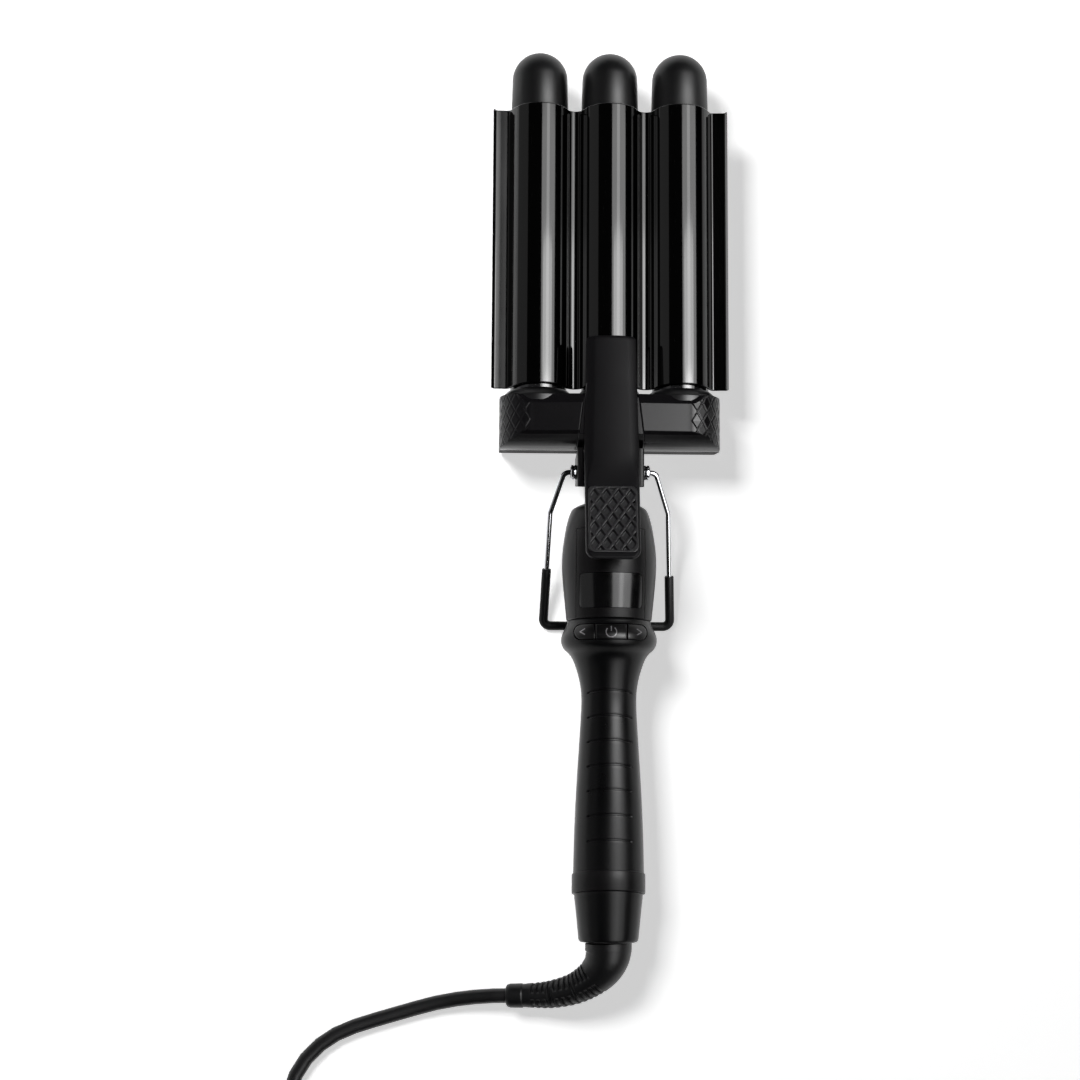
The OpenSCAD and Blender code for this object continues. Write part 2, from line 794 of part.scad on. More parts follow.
module crossbar_screws() {
    color("silver")
    screw_places()
    difference() {
        union() {
            translate([0, 0, screw_sink])
            cylinder(d = screw_head_d, h = screw_head_h - fit);
            translate([0, 0, screw_sink])
            cylinder(d = screw_d, h = bar_top_z - bar_wall - 3 - screw_sink);
        }
        for (a = [0, 90])
            rotate(a)
            translate([-drive_l / 2, -drive_w / 2, screw_sink - 1])
            cube([drive_l, drive_w, 2]);
    }
}

// Neck block: cheeks for the hinge, a spigot to each side and a passage for the wires
module neck_block() {
    half = neck_w / 2;
    color("#1c1c1e")
    difference() {
        union() {
            extrude_y(y_neck, y_bar - fit)
            translate([0, axis_h + (neck_front - neck_back) / 2])
            rounded_rect(neck_w, neck_front + neck_back, neck_corner_r);
            translate([0, 0, axis_h])
            bar_y(spigot_d / 2, y_housing - housing_spigot_l, y_bar + bar_spigot_l);
        }
        block([-slot_w / 2, y_neck - 1, slot_floor], [slot_w / 2, y_bar + 1, bar_top_z]);
        translate([0, 0, axis_h - wire_bore_drop])
        bar_y(wire_bore_d / 2, y_housing - housing_spigot_l - 1, y_bar + bar_spigot_l + 1);
        translate([0, hinge_y, hinge_z])
        bar_x(hinge_tube_r + fit / 2, -half - 1, half + 1);
    }
}

module hinge_tube() {
    color("silver")
    translate([0, hinge_y, hinge_z])
    difference() {
        bar_x(hinge_tube_r, -hinge_half, hinge_half);
        bar_x(hinge_bore_d / 2, -hinge_half - 1, hinge_half + 1);
    }
}

module hinge_ferrules() {
    start = neck_w / 2 + fit;
    color("silver")
    for (x = [0, 1])
        mirror([x, 0, 0])
        translate([0, hinge_y, hinge_z])
        difference() {
            bar_x(ferrule_d / 2, start, start + ferrule_l);
            bar_x(hinge_tube_r + fit / 2, start - 1, start + ferrule_l + 1);
        }
}

// Torsion spring: a helix round the hinge tube with a leg on the slot's floor and a leg under the lever
module torsion_spring() {
    mean_r = hinge_tube_r + spring_wire_d / 2 + air;
    span = ear_in - air - spring_wire_d;
    steps = spring_turns * 12;
    start = 270;
    turn = 360 * spring_turns - 150;
    coil = [
        for (i = [0:steps])
        let (a = start + turn * i / steps)
        [-span + 2 * span * i / steps, mean_r * cos(a), mean_r * sin(a)]
    ];
    first = [-span, -mean_r * 2, -mean_r];
    last_a = start + turn;
    last = coil[steps] + [0, -sin(last_a), cos(last_a)] * spring_leg_l;
    path = concat([first], coil, [last]);
    color("silver")
    translate([0, hinge_y, hinge_z])
    sweep(path, [for (p = path) spring_wire_d / 2], [1, 0, 0], 8);
}

// Upper housing: a turned shell with an opening for the display cover
module housing_form(inset) {
    turned(housing_curve, y_housing, inset);
}

module cover_cut(margin, y_margin) {
    block(
        [-cover_w / 2 - margin, y_grip - 1, axis_h + spigot_d / 2],
        [cover_w / 2 + margin, y_housing - housing_spigot_l - 1 + y_margin, axis_h + bulge_d]
    );
}

module upper_housing() {
    color("#232325")
    difference() {
        housing_form(0);
        intersection() {
            housing_form(housing_wall);
            block([-bulge_d, y_grip - 1, -1], [bulge_d, y_housing - housing_spigot_l - 1, axis_h + bulge_d]);
        }
        translate([0, 0, axis_h])
        bar_y(spigot_d / 2 + fit, y_housing - housing_spigot_l - 2, y_housing + 1);
        cover_cut(seam, seam);
    }
}

module window_prism(margin) {
    translate([0, y_grip + window_up + window_l / 2, axis_h])
    linear_extrude(bulge_d)
    rounded_rect(window_w + 2 * margin, window_l + 2 * margin, window_corner_r + margin);
}

module display_cover() {
    color("#2a2a2c")
    difference() {
        intersection() {
            difference() {
                housing_form(0);
                housing_form(housing_wall);
            }
            cover_cut(0, 0);
        }
        window_prism(seam);
    }
}

module display_window() {
    color("#111114")
    intersection() {
        difference() {
            housing_form(0.1);
            housing_form(window_t);
        }
        window_prism(0);
    }
}

module lcd_module() {
    low = y_grip + window_up + 1;
    color("gray")
    intersection() {
        difference() {
            housing_form(window_t + fit);
            housing_form(window_t + lcd_t);
        }
        block(
            [-window_w / 2 + 1, low, axis_h + spigot_d / 2],
            [window_w / 2 - 1, low + window_l - 2, axis_h + bulge_d]
        );
    }
}

module control_board() {
    y_low = y_grip + 3;
    z_low = axis_h + board_rise;
    color("darkgreen")
    intersection() {
        housing_form(housing_wall + fit);
        block([-bulge_d, y_low, z_low], [bulge_d, y_low + board_l, z_low + board_t]);
    }
    color("black")
    block([-6, y_low + 6, z_low - 7], [6, y_low + 18, z_low]);
}

// Grip: a turned body with a hollow head, slanted grooves, and a seat for the band
module grip_form(inset) {
    turned(grip_curve, y_grip, inset);
}

module groove(i) {
    down = groove_start + i * groove_pitch;
    r = turned_r(grip_curve, down);
    color("#232325")
    translate([0, y_grip - down, axis_h])
    intersection() {
        rotate([-groove_tilt, 0, 0])
        difference() {
            bar_y(r + 3, -groove_w / 2, groove_w / 2);
            bar_y(r - groove_depth, -groove_w, groove_w);
        }
        block([-groove_half_w, -r, 0], [groove_half_w, r, r + 4]);
    }
}

module slot_prism(low, high, margin_x, margin_y) {
    intersection() {
        translate([0, slot_y, axis_h + 2])
        linear_extrude(head_d / 2)
        rounded_rect(slot_l + 2 * margin_x, slot_h + 2 * margin_y, slot_h / 2 - 0.01 + min(margin_x, margin_y));
        block([low, slot_y - slot_h, axis_h], [high, slot_y + slot_h, axis_h + head_d]);
    }
}

module grip() {
    color("#252527")
    difference() {
        grip_form(0);
        intersection() {
            grip_form(head_wall);
            block([-head_d, y_grip - cavity_down, -1], [head_d, y_grip + 1, axis_h + head_d]);
        }
        translate([0, 0, axis_h]) {
            bar_y(grip_bore_d / 2, y_butt - slant_reach - 1, y_grip - cavity_down + 1);
            bar_y(end_spigot_d / 2 + fit, y_butt - slant_reach - 1, y_butt + end_spigot_l + slip_ring_l);
            difference() {
                slanted_slice(y_butt - slant_reach, y_band + fit);
                bar_y(butt_d / 2 - band_seat, y_butt - band_d, y_band + band_d);
            }
        }
        translate([0, 0, axis_h])
        slanted_slice(y_end, y_butt);
        slot_prism(-slot_l, slot_l, 0, 0);
        stand_notch();
        for (i = [0:1:groove_count - 1])
            groove(i);
    }
}

// A thick slice across the handle, slanted as the band is
module slanted_slice(from, to) {
    translate([0, to, 0])
    rotate([-band_tilt, 0, 0])
    bar_y(band_d, (from - to) * cos(band_tilt), 0);
}

module stand_notch() {
    half = sleeve_d / 2 + 0.9;
    block([-head_d, stand_y - half, -1], [head_d, stand_y + half, sleeve_d + 0.5]);
}

module band_ring() {
    color("#1b1b1d")
    translate([0, 0, axis_h])
    difference() {
        intersection() {
            bar_y(band_d / 2, y_butt - slant_reach, y_band + slant_reach);
            slanted_slice(y_butt, y_band);
        }
        bar_y(butt_d / 2 - band_seat + fit, y_butt - band_d, y_band + band_d);
    }
}

module end_cap() {
    chamber_r = swivel_flange_d / 2 + air;
    color("#1f1f21")
    translate([0, 0, axis_h])
    difference() {
        union() {
            intersection() {
                translate([0, y_end, 0])
                rotate([-90, 0, 0])
                rotate_extrude()
                polygon([
                    [0, 0], [end_cap_tip_d / 2 - 0.8, 0], [end_cap_tip_d / 2, 1.2],
                    [end_cap_d / 2, end_cap_l], [end_cap_d / 2, end_cap_l + slant_reach],
                    [0, end_cap_l + slant_reach]
                ]);
                slanted_slice(y_end - end_cap_l, y_butt - fit);
            }
            bar_y(end_spigot_d / 2, y_butt - slant_reach, y_butt + end_spigot_l);
        }
        bar_y(swivel_r + run_fit, y_end - 1, y_shoulder + 1);
        bar_y(chamber_r, y_shoulder, y_butt + end_spigot_l + 1);
    }
}

// Buttons: each fills its part of the slot, flush with the head, and has a lip under the wall
module button(low, high, lip_low, lip_high) {
    intersection() {
        difference() {
            grip_form(0);
            grip_form(head_wall + air + button_lip_t);
        }
        slot_prism(low, high, -button_gap, -button_gap);
    }
    intersection() {
        difference() {
            grip_form(head_wall + air);
            grip_form(head_wall + air + button_lip_t);
        }
        slot_prism(lip_low, lip_high, button_lip, button_lip);
    }
}

module button_power() {
    color("#303033")
    button(-power_w / 2, power_w / 2, -power_w / 2, power_w / 2);
}

module button_cooler() {
    color("#303033")
    button(-slot_l, -power_w / 2 - button_gap - 0.1, -slot_l, -power_w / 2 - button_gap - 0.1);
}

module button_hotter() {
    color("#303033")
    button(power_w / 2 + button_gap + 0.1, slot_l, power_w / 2 + button_gap + 0.1, slot_l);
}

module button_board() {
    z_low = axis_h - board_t / 2;
    side_x = power_w / 2 + button_gap + switch_w;
    lip_under = turned_r(grip_curve, slot_down + switch_w / 2) - head_wall - air - button_lip_t;
    top_r = lip_under - button_travel - fit * 4;
    color("darkgreen")
    intersection() {
        grip_form(head_wall + fit);
        block([-head_d, slot_y - 4, z_low], [head_d, y_grip - 2, z_low + board_t]);
    }
    color("black")
    for (x = [-side_x, 0, side_x])
        switch_block(x, z_low + board_t, sqrt(pow(top_r, 2) - pow(abs(x) + switch_w / 2, 2)));
}

module switch_block(x, z, top) {
    half = switch_w / 2;
    block([x - half, slot_y - half, z], [x + half, slot_y + half, axis_h + top]);
}

// Clamp plate: one sheet that runs over the three barrels in equal waves, with a flange on each side
function arc(centre, r, from, to, n) =
    [for (k = [0:n]) let (a = from + (to - from) * k / n) centre + [cos(a), sin(a)] * r];
// The sheet's line, moved off its middle by shift: positive is towards the ridges' outside
function wave_line(shift) =
    let (
        outer = barrel_pitch + half_pitch,
        ridge = ridge_mid_r + shift,
        valley = valley_r - shift,
        flange_z = valley_floor + shift
    )
    concat(
        [[-outer - flange_w, flange_z]],
        arc([-outer, valley_z], valley, 270, 270 + wave_angle, 8),
        [
            for (i = [-1:1]) each concat(
                arc([i * barrel_pitch, 0], ridge, 90 + wave_angle, 90 - wave_angle, 24),
                i == 1 ? []
                : arc([i * barrel_pitch + half_pitch, valley_z], valley, 270 - wave_angle, 270 + wave_angle, 16)
            )
        ],
        arc([outer, valley_z], valley, 270 - wave_angle, 270, 8),
        [[outer + flange_w, flange_z]]
    );

module clamp_plate() {
    under = wave_line(-plate_t / 2);
    color("#333336")
    difference() {
        extrude_y(y_plate, y_plate_tip)
        translate([0, axis_h])
        polygon(concat(wave_line(plate_t / 2), [for (k = [len(under) - 1:-1:0]) under[k]]));
        rivet_places() cylinder(d = rivet_d + fit, h = ridge_out_r + 2);
    }
}

module rivet_places() {
    middle = y_plate + lever_grip_l / 2 + 0.5;
    for (y = [-1, 1])
        translate([0, middle + y * rivet_pitch / 2, axis_h])
        children();
}

module plate_rivets() {
    color("silver")
    rivet_places()
    translate([0, 0, ridge_in_r])
    cylinder(d = rivet_d, h = rivet_l);
}

// Lever: a lofted bar from the plate to the thumb rest, with two ears on the hinge
function end_round(d, r) = d >= r ? 0 : r - sqrt(pow(r, 2) - pow(r - d, 2));
function lever_half(y) = lookup(y, lever_width_line)
    - end_round(y - lever_y_rear, thumb_corner_r) - end_round(lever_y_tip - y, tip_corner_r);
function lever_ring(y) =
    let (
        half = lever_half(y),
        low = lookup(y, lever_under_line),
        high = lookup(y, lever_curve) - end_round(lever_y_tip - y, lever_edge_r) * 0.6,
        crown = y < rest_y ? 0 : lever_crown,
        edge = lever_edge_r
    )
    concat(
        [[half, y, low], [-half, y, low]],
        [for (a = [0:22.5:90]) [-half + edge * (1 - cos(a)), y, high - crown - edge * (1 - sin(a))]],
        [for (k = [1:5]) let (t = k / 6, x = (half - edge) * (2 * t - 1)) [x, y, high - crown * pow(2 * t - 1, 2)]],
        [for (a = [90:-22.5:0]) [half - edge * (1 - cos(a)), y, high - crown - edge * (1 - sin(a))]]
    );
lever_curve = concat([lever_top_line[0]], spline([for (i = [1:5]) lever_top_line[i]], 4));
lever_stations = concat(
    [for (d = [0.02, 0.3, 1, 2.2]) lever_y_rear + d],
    [lever_y_rear + thumb_corner_r, lever_y_rear + 12, rest_y - 12, rest_y - 5, rest_y - 0.01],
    [for (k = [1:6]) rest_y + (y_bar - rest_y) * k / 7],
    [for (k = [0:4]) y_bar + (y_plate - 0.2 - y_bar) * k / 4],
    [y_plate, lever_y_tip - 10, lever_y_tip - tip_corner_r],
    [for (d = [1.3, 0.6, 0.2, 0.02]) lever_y_tip - d]
);

// Moves a flat piece onto the thumb rest: its Y runs down the slope from the rest's upper edge
module on_thumb_rest() {
    translate([0, rest_y, rest_z])
    rotate([-thumb_tilt, 0, 0])
    translate([0, -pad_far + pad_l / 2, 0])
    children();
}

module lever_ear(side) {
    low = side > 0 ? ear_in : -ear_in - ear_w;
    translate([0, hinge_y, hinge_z])
    bar_x(ear_r, low, low + ear_w);
    extrude_x(low, low + ear_w)
    polygon([
        [hinge_y - ear_r, hinge_z], [hinge_y + ear_r, hinge_z],
        [hinge_y + ear_r + 1.5, bar_top_z + 4], [hinge_y - ear_r - 1.5, rest_z - 2]
    ]);
}

module lever_arm() {
    color("#262628")
    difference() {
        union() {
            loft([for (y = lever_stations) lever_ring(y)]);
            lever_ear(1);
            lever_ear(-1);
        }
        translate([0, 0, axis_h])
        bar_y(ridge_out_r + fit, y_plate - 1, lever_y_tip + 1);
        translate([0, hinge_y, hinge_z])
        bar_x(hinge_tube_r + run_fit, -slot_w, slot_w);
        rivet_places() cylinder(d = rivet_d + fit, h = ridge_in_r + rivet_l + fit);
        on_thumb_rest()
        translate([0, 0, -pad_depth])
        linear_extrude(pad_depth + 3)
        rounded_rect(pad_w + 2 * fit, pad_l + 2 * fit, pad_corner_r + fit);
    }
}

// Thumb pad: a soft plate with a raised lattice of ribs inside a raised rim
module thumb_pad() {
    skin = 0.5;
    rim = 0.9;
    proud = 0.2;
    columns = ceil(pad_w / diamond_w);
    rows = ceil(pad_l / diamond_l);
    gap_w = diamond_w / 2 - pad_rib_w * 0.6;
    gap_l = diamond_l / 2 - pad_rib_w * 0.9;
    color("#2c2c2e")
    on_thumb_rest() {
        translate([0, 0, fit - pad_depth])
        linear_extrude(skin)
        rounded_rect(pad_w, pad_l, pad_corner_r);
        translate([0, 0, fit - pad_depth])
        linear_extrude(pad_depth + proud)
        difference() {
            rounded_rect(pad_w, pad_l, pad_corner_r);
            intersection() {
                rounded_rect(pad_w - 2 * rim, pad_l - 2 * rim, pad_corner_r - rim);
                for (i = [-columns:columns], j = [-rows:rows])
                    if ((i + j) % 2 == 0)
                        translate([i * diamond_w / 2, j * diamond_l / 2])
                        polygon([[-gap_w, 0], [0, -gap_l], [gap_w, 0], [0, gap_l]]);
            }
        }
    }
}

// A wire bent round the corners of a flat path: straight runs with an arc at each corner.
// An arc is a hair slimmer than the runs and laps into them, so that they join cleanly.
bend_lap = 1;
bend_slim = 0.99;
function corner_angle(points, i) = let (u = points[i - 1] - points[i], v = points[i + 1] - points[i])
    acos(u * v / norm(u) / norm(v));

module bent_wire(points, r) {
    last = len(points) - 1;
    reach = [
        for (i = [0:last])
        i == 0 || i == last ? 0 : wire_bend_r / tan(corner_angle(points, i) / 2)
    ];
    for (i = [0:last - 1]) {
        along = unit(points[i + 1] - points[i]);
        from = points[i] + along * reach[i];
        to = points[i + 1] - along * reach[i + 1];
        translate(from)
        rotate([0, 90, atan2(along[1], along[0])])
        cylinder(r = r, h = norm(to - from));
    }
    for (i = [1:last - 1]) {
        angle = corner_angle(points, i);
        u = unit(points[i - 1] - points[i]);
        v = unit(points[i + 1] - points[i]);
        centre = points[i] + unit(u + v) * wire_bend_r / sin(angle / 2);
        from = points[i] + (cross(u, v) < 0 ? u : v) * reach[i] - centre;
        translate(centre)
        rotate(atan2(from[1], from[0]) - bend_lap)
        rotate_extrude(angle = 180 - angle + 2 * bend_lap)
        translate([wire_bend_r, 0])
        circle(r * bend_slim);
    }
}

// Stand: one wire bent round the handle, with its ends in the hinge tube, and a soft sleeve on its foot
stand_drop = stand_l / cos(stand_slope);
elbow_drop = elbow_back / cos(stand_slope);
stand_side = [[stand_shoulder, 0], [stand_elbow, -elbow_drop], [stand_foot, -stand_drop]];
sleeve_top = stand_side[2] + unit(stand_side[1] - stand_side[2]) * sleeve_side_l;

// Turns the stand's flat path, whose Y runs from the hinge axis, down to the table
module on_stand() {
    translate([0, hinge_y, hinge_z])
    rotate([stand_slope, 0, 0])
    children();
}

module stand_path(r) {
    bent_wire(concat(
        [[-slot_w / 2, 0]], [for (p = stand_side) [-p[0], p[1]]],
        [for (k = [2:-1:0]) stand_side[k]], [[slot_w / 2, 0]]
    ), r);
}

module stand_wire() {
    color("silver")
    on_stand() stand_path(wire_r);
}

module stand_sleeve() {
    color("#161618")
    on_stand()
    difference() {
        bent_wire([
            [-sleeve_top[0], sleeve_top[1]], [-stand_foot, -stand_drop], [stand_foot, -stand_drop], sleeve_top
        ], sleeve_d / 2);
        stand_path(wire_r + fit);
    }
}

// Swivel: a flanged neck that turns in the end cap, with its slip ring
module swivel_spindle() {
    color("#1b1b1d")
    translate([0, 0, axis_h])
    difference() {
        union() {
            bar_y(swivel_r, y_end, y_flange_top);
            bar_y(swivel_flange_d / 2, y_flange, y_flange_top);
        }
        bar_y(swivel_bore_d / 2, y_end - 1, y_flange_top + 1);
    }
}

module slip_ring() {
    color("#b08d57")
    translate([0, 0, axis_h])
    difference() {
        bar_y(slip_ring_d / 2, y_flange_top + fit, y_ring_top);
        bar_y(swivel_bore_d / 2, y_flange_top - 1, y_ring_top + 1);
    }
}

module brush_block() {
    chamber_r = swivel_flange_d / 2 + air;
    color("#8a5a2b")
    translate([0, 0, axis_h])
    difference() {
        bar_y(chamber_r - fit, y_flange_top + air, y_ring_top + 1);
        bar_y(slip_ring_d / 2 + air, y_flange_top, y_ring_top + 2);
    }
}

// Boot: a bent, tapered strain relief with ribs along its slim half
function boot_r(t) =
    t <= boot_neck ? swivel_r :
    let (base = lookup(t, [
        [boot_neck, boot_d / 2], [0.15, boot_d / 2 - 0.1], [0.3, 9], [0.45, 7.8], [0.6, 6.7],
        [0.8, 5.5], [1, boot_tip_d / 2]
    ]))
    t < 0.34 || t > 0.95 ? base : base - boot_rib_depth * (sin(360 * boot_ribs * (t - 0.34) / 0.61) > 0 ? 1 : 0);
boot_stations = concat(
    [0, boot_neck, boot_neck + 0.001, 0.08, 0.16, 0.24, 0.3],
    [for (k = [0:1:4 * boot_ribs]) 0.34 + 0.61 * (k + (k % 2 == 0 ? -0.35 : 0.35)) / (4 * boot_ribs)],
    [0.96, 1]
);
function path_point(path, t) =
    let (at = t * (len(path) - 1), i = min(floor(at), len(path) - 2))
    path[i] + (path[i + 1] - path[i]) * (at - i);

module cord_boot() {
    path = [for (t = boot_stations) path_point(boot_path, t)];
    reach = 0.02;
    headings = [
        for (t = boot_stations)
        t < 2 * reach ? [0, -1, 0]
        : unit(path_point(boot_path, min(t + reach, 1)) - path_point(boot_path, t - reach))
    ];
    color("#1b1b1d")
    loft([for (i = [0:len(path) - 1]) ring(path[i], headings[i], [0, 0, 1], boot_r(boot_stations[i]), 16)]);
}

module cord() {
    color("#202022")
    sweep(cord_line, [for (p = cord_line) cord_r], [0, 0, 1], 12);
}

module coil_outline(grow) {
    translate([(coil_in_r + coil_out_r) / 2, coil_h / 2])
    rounded_rect(coil_out_r - coil_in_r + 2 * grow, coil_h + 2 * grow, cord_r + grow);
}

module cord_coil() {
    color("#202022")
    translate([coil_centre[0], coil_centre[1], 0])
    difference() {
        rotate_extrude() coil_outline(0);
        rotate(tie_turn) block([0, -tie_w / 2 - fit, -1], [coil_out_r + 2, tie_w / 2 + fit, tie_t + fit]);
    }
}

// Cord tie: a band round the coil's turns, whose lower run lies on the table under them
module cord_tie() {
    color("#151517")
    translate([coil_centre[0], coil_centre[1], 0])
    intersection() {
        rotate_extrude()
        difference() {
            union() {
                coil_outline(tie_t);
                translate([coil_in_r - tie_t, 0])
                square([coil_out_r - coil_in_r + 2 * tie_t, cord_r]);
            }
            difference() {
                coil_outline(fit);
                square([coil_out_r + 1, tie_t]);
            }
            translate([0, -coil_h])
            square([coil_out_r + tie_w, coil_h]);
        }
        rotate(tie_turn) block([0, -tie_w / 2, 0], [coil_out_r + tie_w, tie_w / 2, coil_h + tie_w]);
    }
}

module cord_tail() {
    color("#202022")
    sweep(tail_line, [for (p = tail_line) cord_r], [0, 0, 1], 12);
}

// Plug: a flat two-pin plug that lies on the table
module plug_body() {
    face_x = plug_x + plug_relief_l + plug_l;
    // One side of the outline, from the cord to the pins
    plug_side = [
        [0, plug_neck_w / 2], [plug_l * 0.27, plug_neck_w / 2 + 1], [plug_l * 0.65, plug_w / 2], [plug_l, plug_w / 2]
    ];
    color("#202022")
    translate([0, plug_y, plug_t / 2]) {
        bar_x_relief();
        difference() {
            union() {
                translate([0, 0, -plug_t / 2])
                linear_extrude(plug_t)
                polygon([for (p = concat(plug_side, [for (k = [3:-1:0]) [plug_side[k][0], -plug_side[k][1]]]))
                    [plug_x + plug_relief_l + p[0], p[1]]]);
                pin_places() bar_x(pin_root_d / 2, face_x - 1, face_x + pin_root_l - fit);
            }
            pin_places() bar_x(pin_core_d / 2 + fit, face_x - pin_hold_l - fit, face_x + pin_root_l + 1);
        }
    }
}

module pin_places() {
    for (s = [-1, 1])
        translate([0, s * pin_pitch / 2, 0])
        children();
}

module bar_x_relief() {
    translate([plug_x + fit, 0, 0])
    rotate([0, 90, 0])
    cylinder(r1 = cord_r + 0.8, r2 = plug_neck_w / 2, h = plug_relief_l - fit);
}

module plug_pins() {
    face_x = plug_x + plug_relief_l + plug_l;
    color("silver")
    translate([0, plug_y, plug_t / 2])
    pin_places() {
        bar_x(pin_core_d / 2, face_x - pin_hold_l, face_x + pin_root_l);
        bar_x(pin_d / 2, face_x + pin_root_l, face_x + pin_l - pin_chamfer);
        translate([face_x + pin_l - pin_chamfer, 0, 0])
        rotate([0, 90, 0])
        cylinder(r1 = pin_d / 2, r2 = pin_d / 2 - 0.8 * pin_chamfer, h = pin_chamfer);
    }
}

barrel(-1);  // barrel_left
barrel(0);  // barrel_centre
barrel(1);  // barrel_right
tip_cap(-1);  // tip_cap_left
tip_cap(0);  // tip_cap_centre
tip_cap(1);  // tip_cap_right
heater(-1);  // heater_left
heater(0);  // heater_centre
heater(1);  // heater_right
collar(-1);  // collar_left
collar(0);  // collar_centre
collar(1);  // collar_right
crossbar_front();
crossbar_back();
crossbar_screws();
neck_block();
hinge_tube();
hinge_ferrules();
torsion_spring();
upper_housing();
display_cover();
display_window();
lcd_module();
control_board();
button_board();
grip();
band_ring();
end_cap();
brush_block();
clamp_plate();
plate_rivets();
lever_arm();
thumb_pad();
stand_wire();
stand_sleeve();
button_power();
button_cooler();
button_hotter();
swivel_spindle();
slip_ring();
cord_boot();
cord();
cord_coil();
cord_tail();
cord_tie();
plug_body();
plug_pins();
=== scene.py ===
import math

import bmesh
import bpy
from mathutils import Matrix, Vector


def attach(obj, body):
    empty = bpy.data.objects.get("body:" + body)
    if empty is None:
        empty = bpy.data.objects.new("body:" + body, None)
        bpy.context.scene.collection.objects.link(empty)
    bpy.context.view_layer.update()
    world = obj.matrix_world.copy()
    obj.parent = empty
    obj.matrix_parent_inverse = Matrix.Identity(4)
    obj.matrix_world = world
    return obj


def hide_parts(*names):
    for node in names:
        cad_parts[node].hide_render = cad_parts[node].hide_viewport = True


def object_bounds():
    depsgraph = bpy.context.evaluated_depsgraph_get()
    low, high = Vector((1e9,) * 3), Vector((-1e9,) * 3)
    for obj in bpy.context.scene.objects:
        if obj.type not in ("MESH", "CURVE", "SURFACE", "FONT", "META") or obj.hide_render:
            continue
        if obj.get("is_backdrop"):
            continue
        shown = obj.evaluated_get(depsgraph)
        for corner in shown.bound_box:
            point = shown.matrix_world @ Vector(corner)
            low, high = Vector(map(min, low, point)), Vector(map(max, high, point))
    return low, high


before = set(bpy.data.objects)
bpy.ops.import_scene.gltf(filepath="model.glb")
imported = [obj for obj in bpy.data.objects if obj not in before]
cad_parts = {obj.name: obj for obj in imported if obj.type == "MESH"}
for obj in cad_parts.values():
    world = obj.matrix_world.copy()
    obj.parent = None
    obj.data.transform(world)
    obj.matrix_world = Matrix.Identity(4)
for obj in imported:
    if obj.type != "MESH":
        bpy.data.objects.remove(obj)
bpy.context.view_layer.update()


# Camera: looks down on the waver from the handle's side, a little left of its axis, through a short tele
# lens. It stands 0.9 m away, so that the plate's raised middle reads a little larger than the handle's end.
view_centre = Vector((-0.0308, -0.0245, 0.023))
view_offset = Vector((-0.0172, -0.1148, 0.8926))
view_roll = math.radians(0.35)
camera = bpy.data.objects.new("camera", bpy.data.cameras.new("camera"))
camera.data.sensor_width = 36
camera.data.lens = 67.3
camera.data.clip_start = 0.01
camera.location = view_centre + view_offset


def link(obj):
    """Puts an object into the scene, unless it is there already."""
    if obj.name not in bpy.context.scene.collection.objects:
        bpy.context.scene.collection.objects.link(obj)


def facing(back):
    """The turn that points an object's own Z along back, and its own Y as nearly to the waver's tips."""
    across = Vector((0, 1, 0)).cross(back).normalized()
    return Matrix((across, back.cross(across), back)).transposed().to_4x4()


camera.rotation_euler = (facing(view_offset.normalized()) @ Matrix.Rotation(view_roll, 4, "Z")).to_euler()
link(camera)
bpy.context.scene.camera = camera


# Cord: a round two-core mains lead with an extruded PVC sheath. It leaves the bent boot, comes down to the
# table and is wound for storage into three layers of three turns, whose end rises over the coil and runs
# into the plug.
MM = 0.001
cord_r = 3.2 * MM
cord_lead = [
    (-43.7, -224.8, 9.9), (-50, -225, 8.9), (-58, -225.7, 7.2), (-66, -226.8, 5.6), (-75, -228.6, 4.2),
    (-84, -231, 3.4), (-93, -233.6, 3.2), (-102, -236.2, 3.2), (-111, -239, 3.2), (-119, -242.4, 3.2),
    (-126, -247, 3.2), (-132, -253, 3.2), (-136.4, -260, 3.2), (-139, -268, 3.2), (-140, -277, 3.2),
    (-140, -287, 3.2), (-140, -297, 3.2), (-140, -307, 3.2),
]
cord_tail = [
    (-86, -352, 17.8), (-78, -352, 20.4), (-70, -352, 22.6), (-62, -352, 23), (-54, -352, 22.2),
    (-46, -352, 19.4), (-38, -352, 15.2), (-30, -352, 10.8), (-22, -352, 8), (-15, -352, 6.9), (-8, -352, 6.85),
]
coil_centre = (-95.2, -320)
coil_columns = (32, 38.4, 44.8)
coil_layers = (3.2, 9.6, 16)
coil_slots = len(coil_columns) * len(coil_layers)
coil_turns = 8.25
coil_steps = 24
crossing = 0.2


def linear(code):
    """An sRGB hex colour as the linear RGBA that a shader takes."""
    parts = [int(code[i : i + 2], 16) / 255 for i in (1, 3, 5)]
    return [p / 12.92 if p <= 0.04045 else ((p + 0.055) / 1.055) ** 2.4 for p in parts] + [1]


def add(tree, kind, inputs=None, **settings):
    """Adds a shader node. Each input is a value, or the socket that feeds it."""
    node = tree.nodes.new("ShaderNode" + kind)
    for name, value in settings.items():
        setattr(node, name, value)
    for name, value in (inputs or {}).items():
        if isinstance(value, bpy.types.NodeSocket):
            tree.links.new(value, node.inputs[name])
        else:
            node.inputs[name].default_value = value
    return node


def blank(name):
    """A new material with an empty node tree."""
    material = bpy.data.materials.new(name)
    material.use_nodes = True
    material.node_tree.nodes.clear()
    return material, material.node_tree


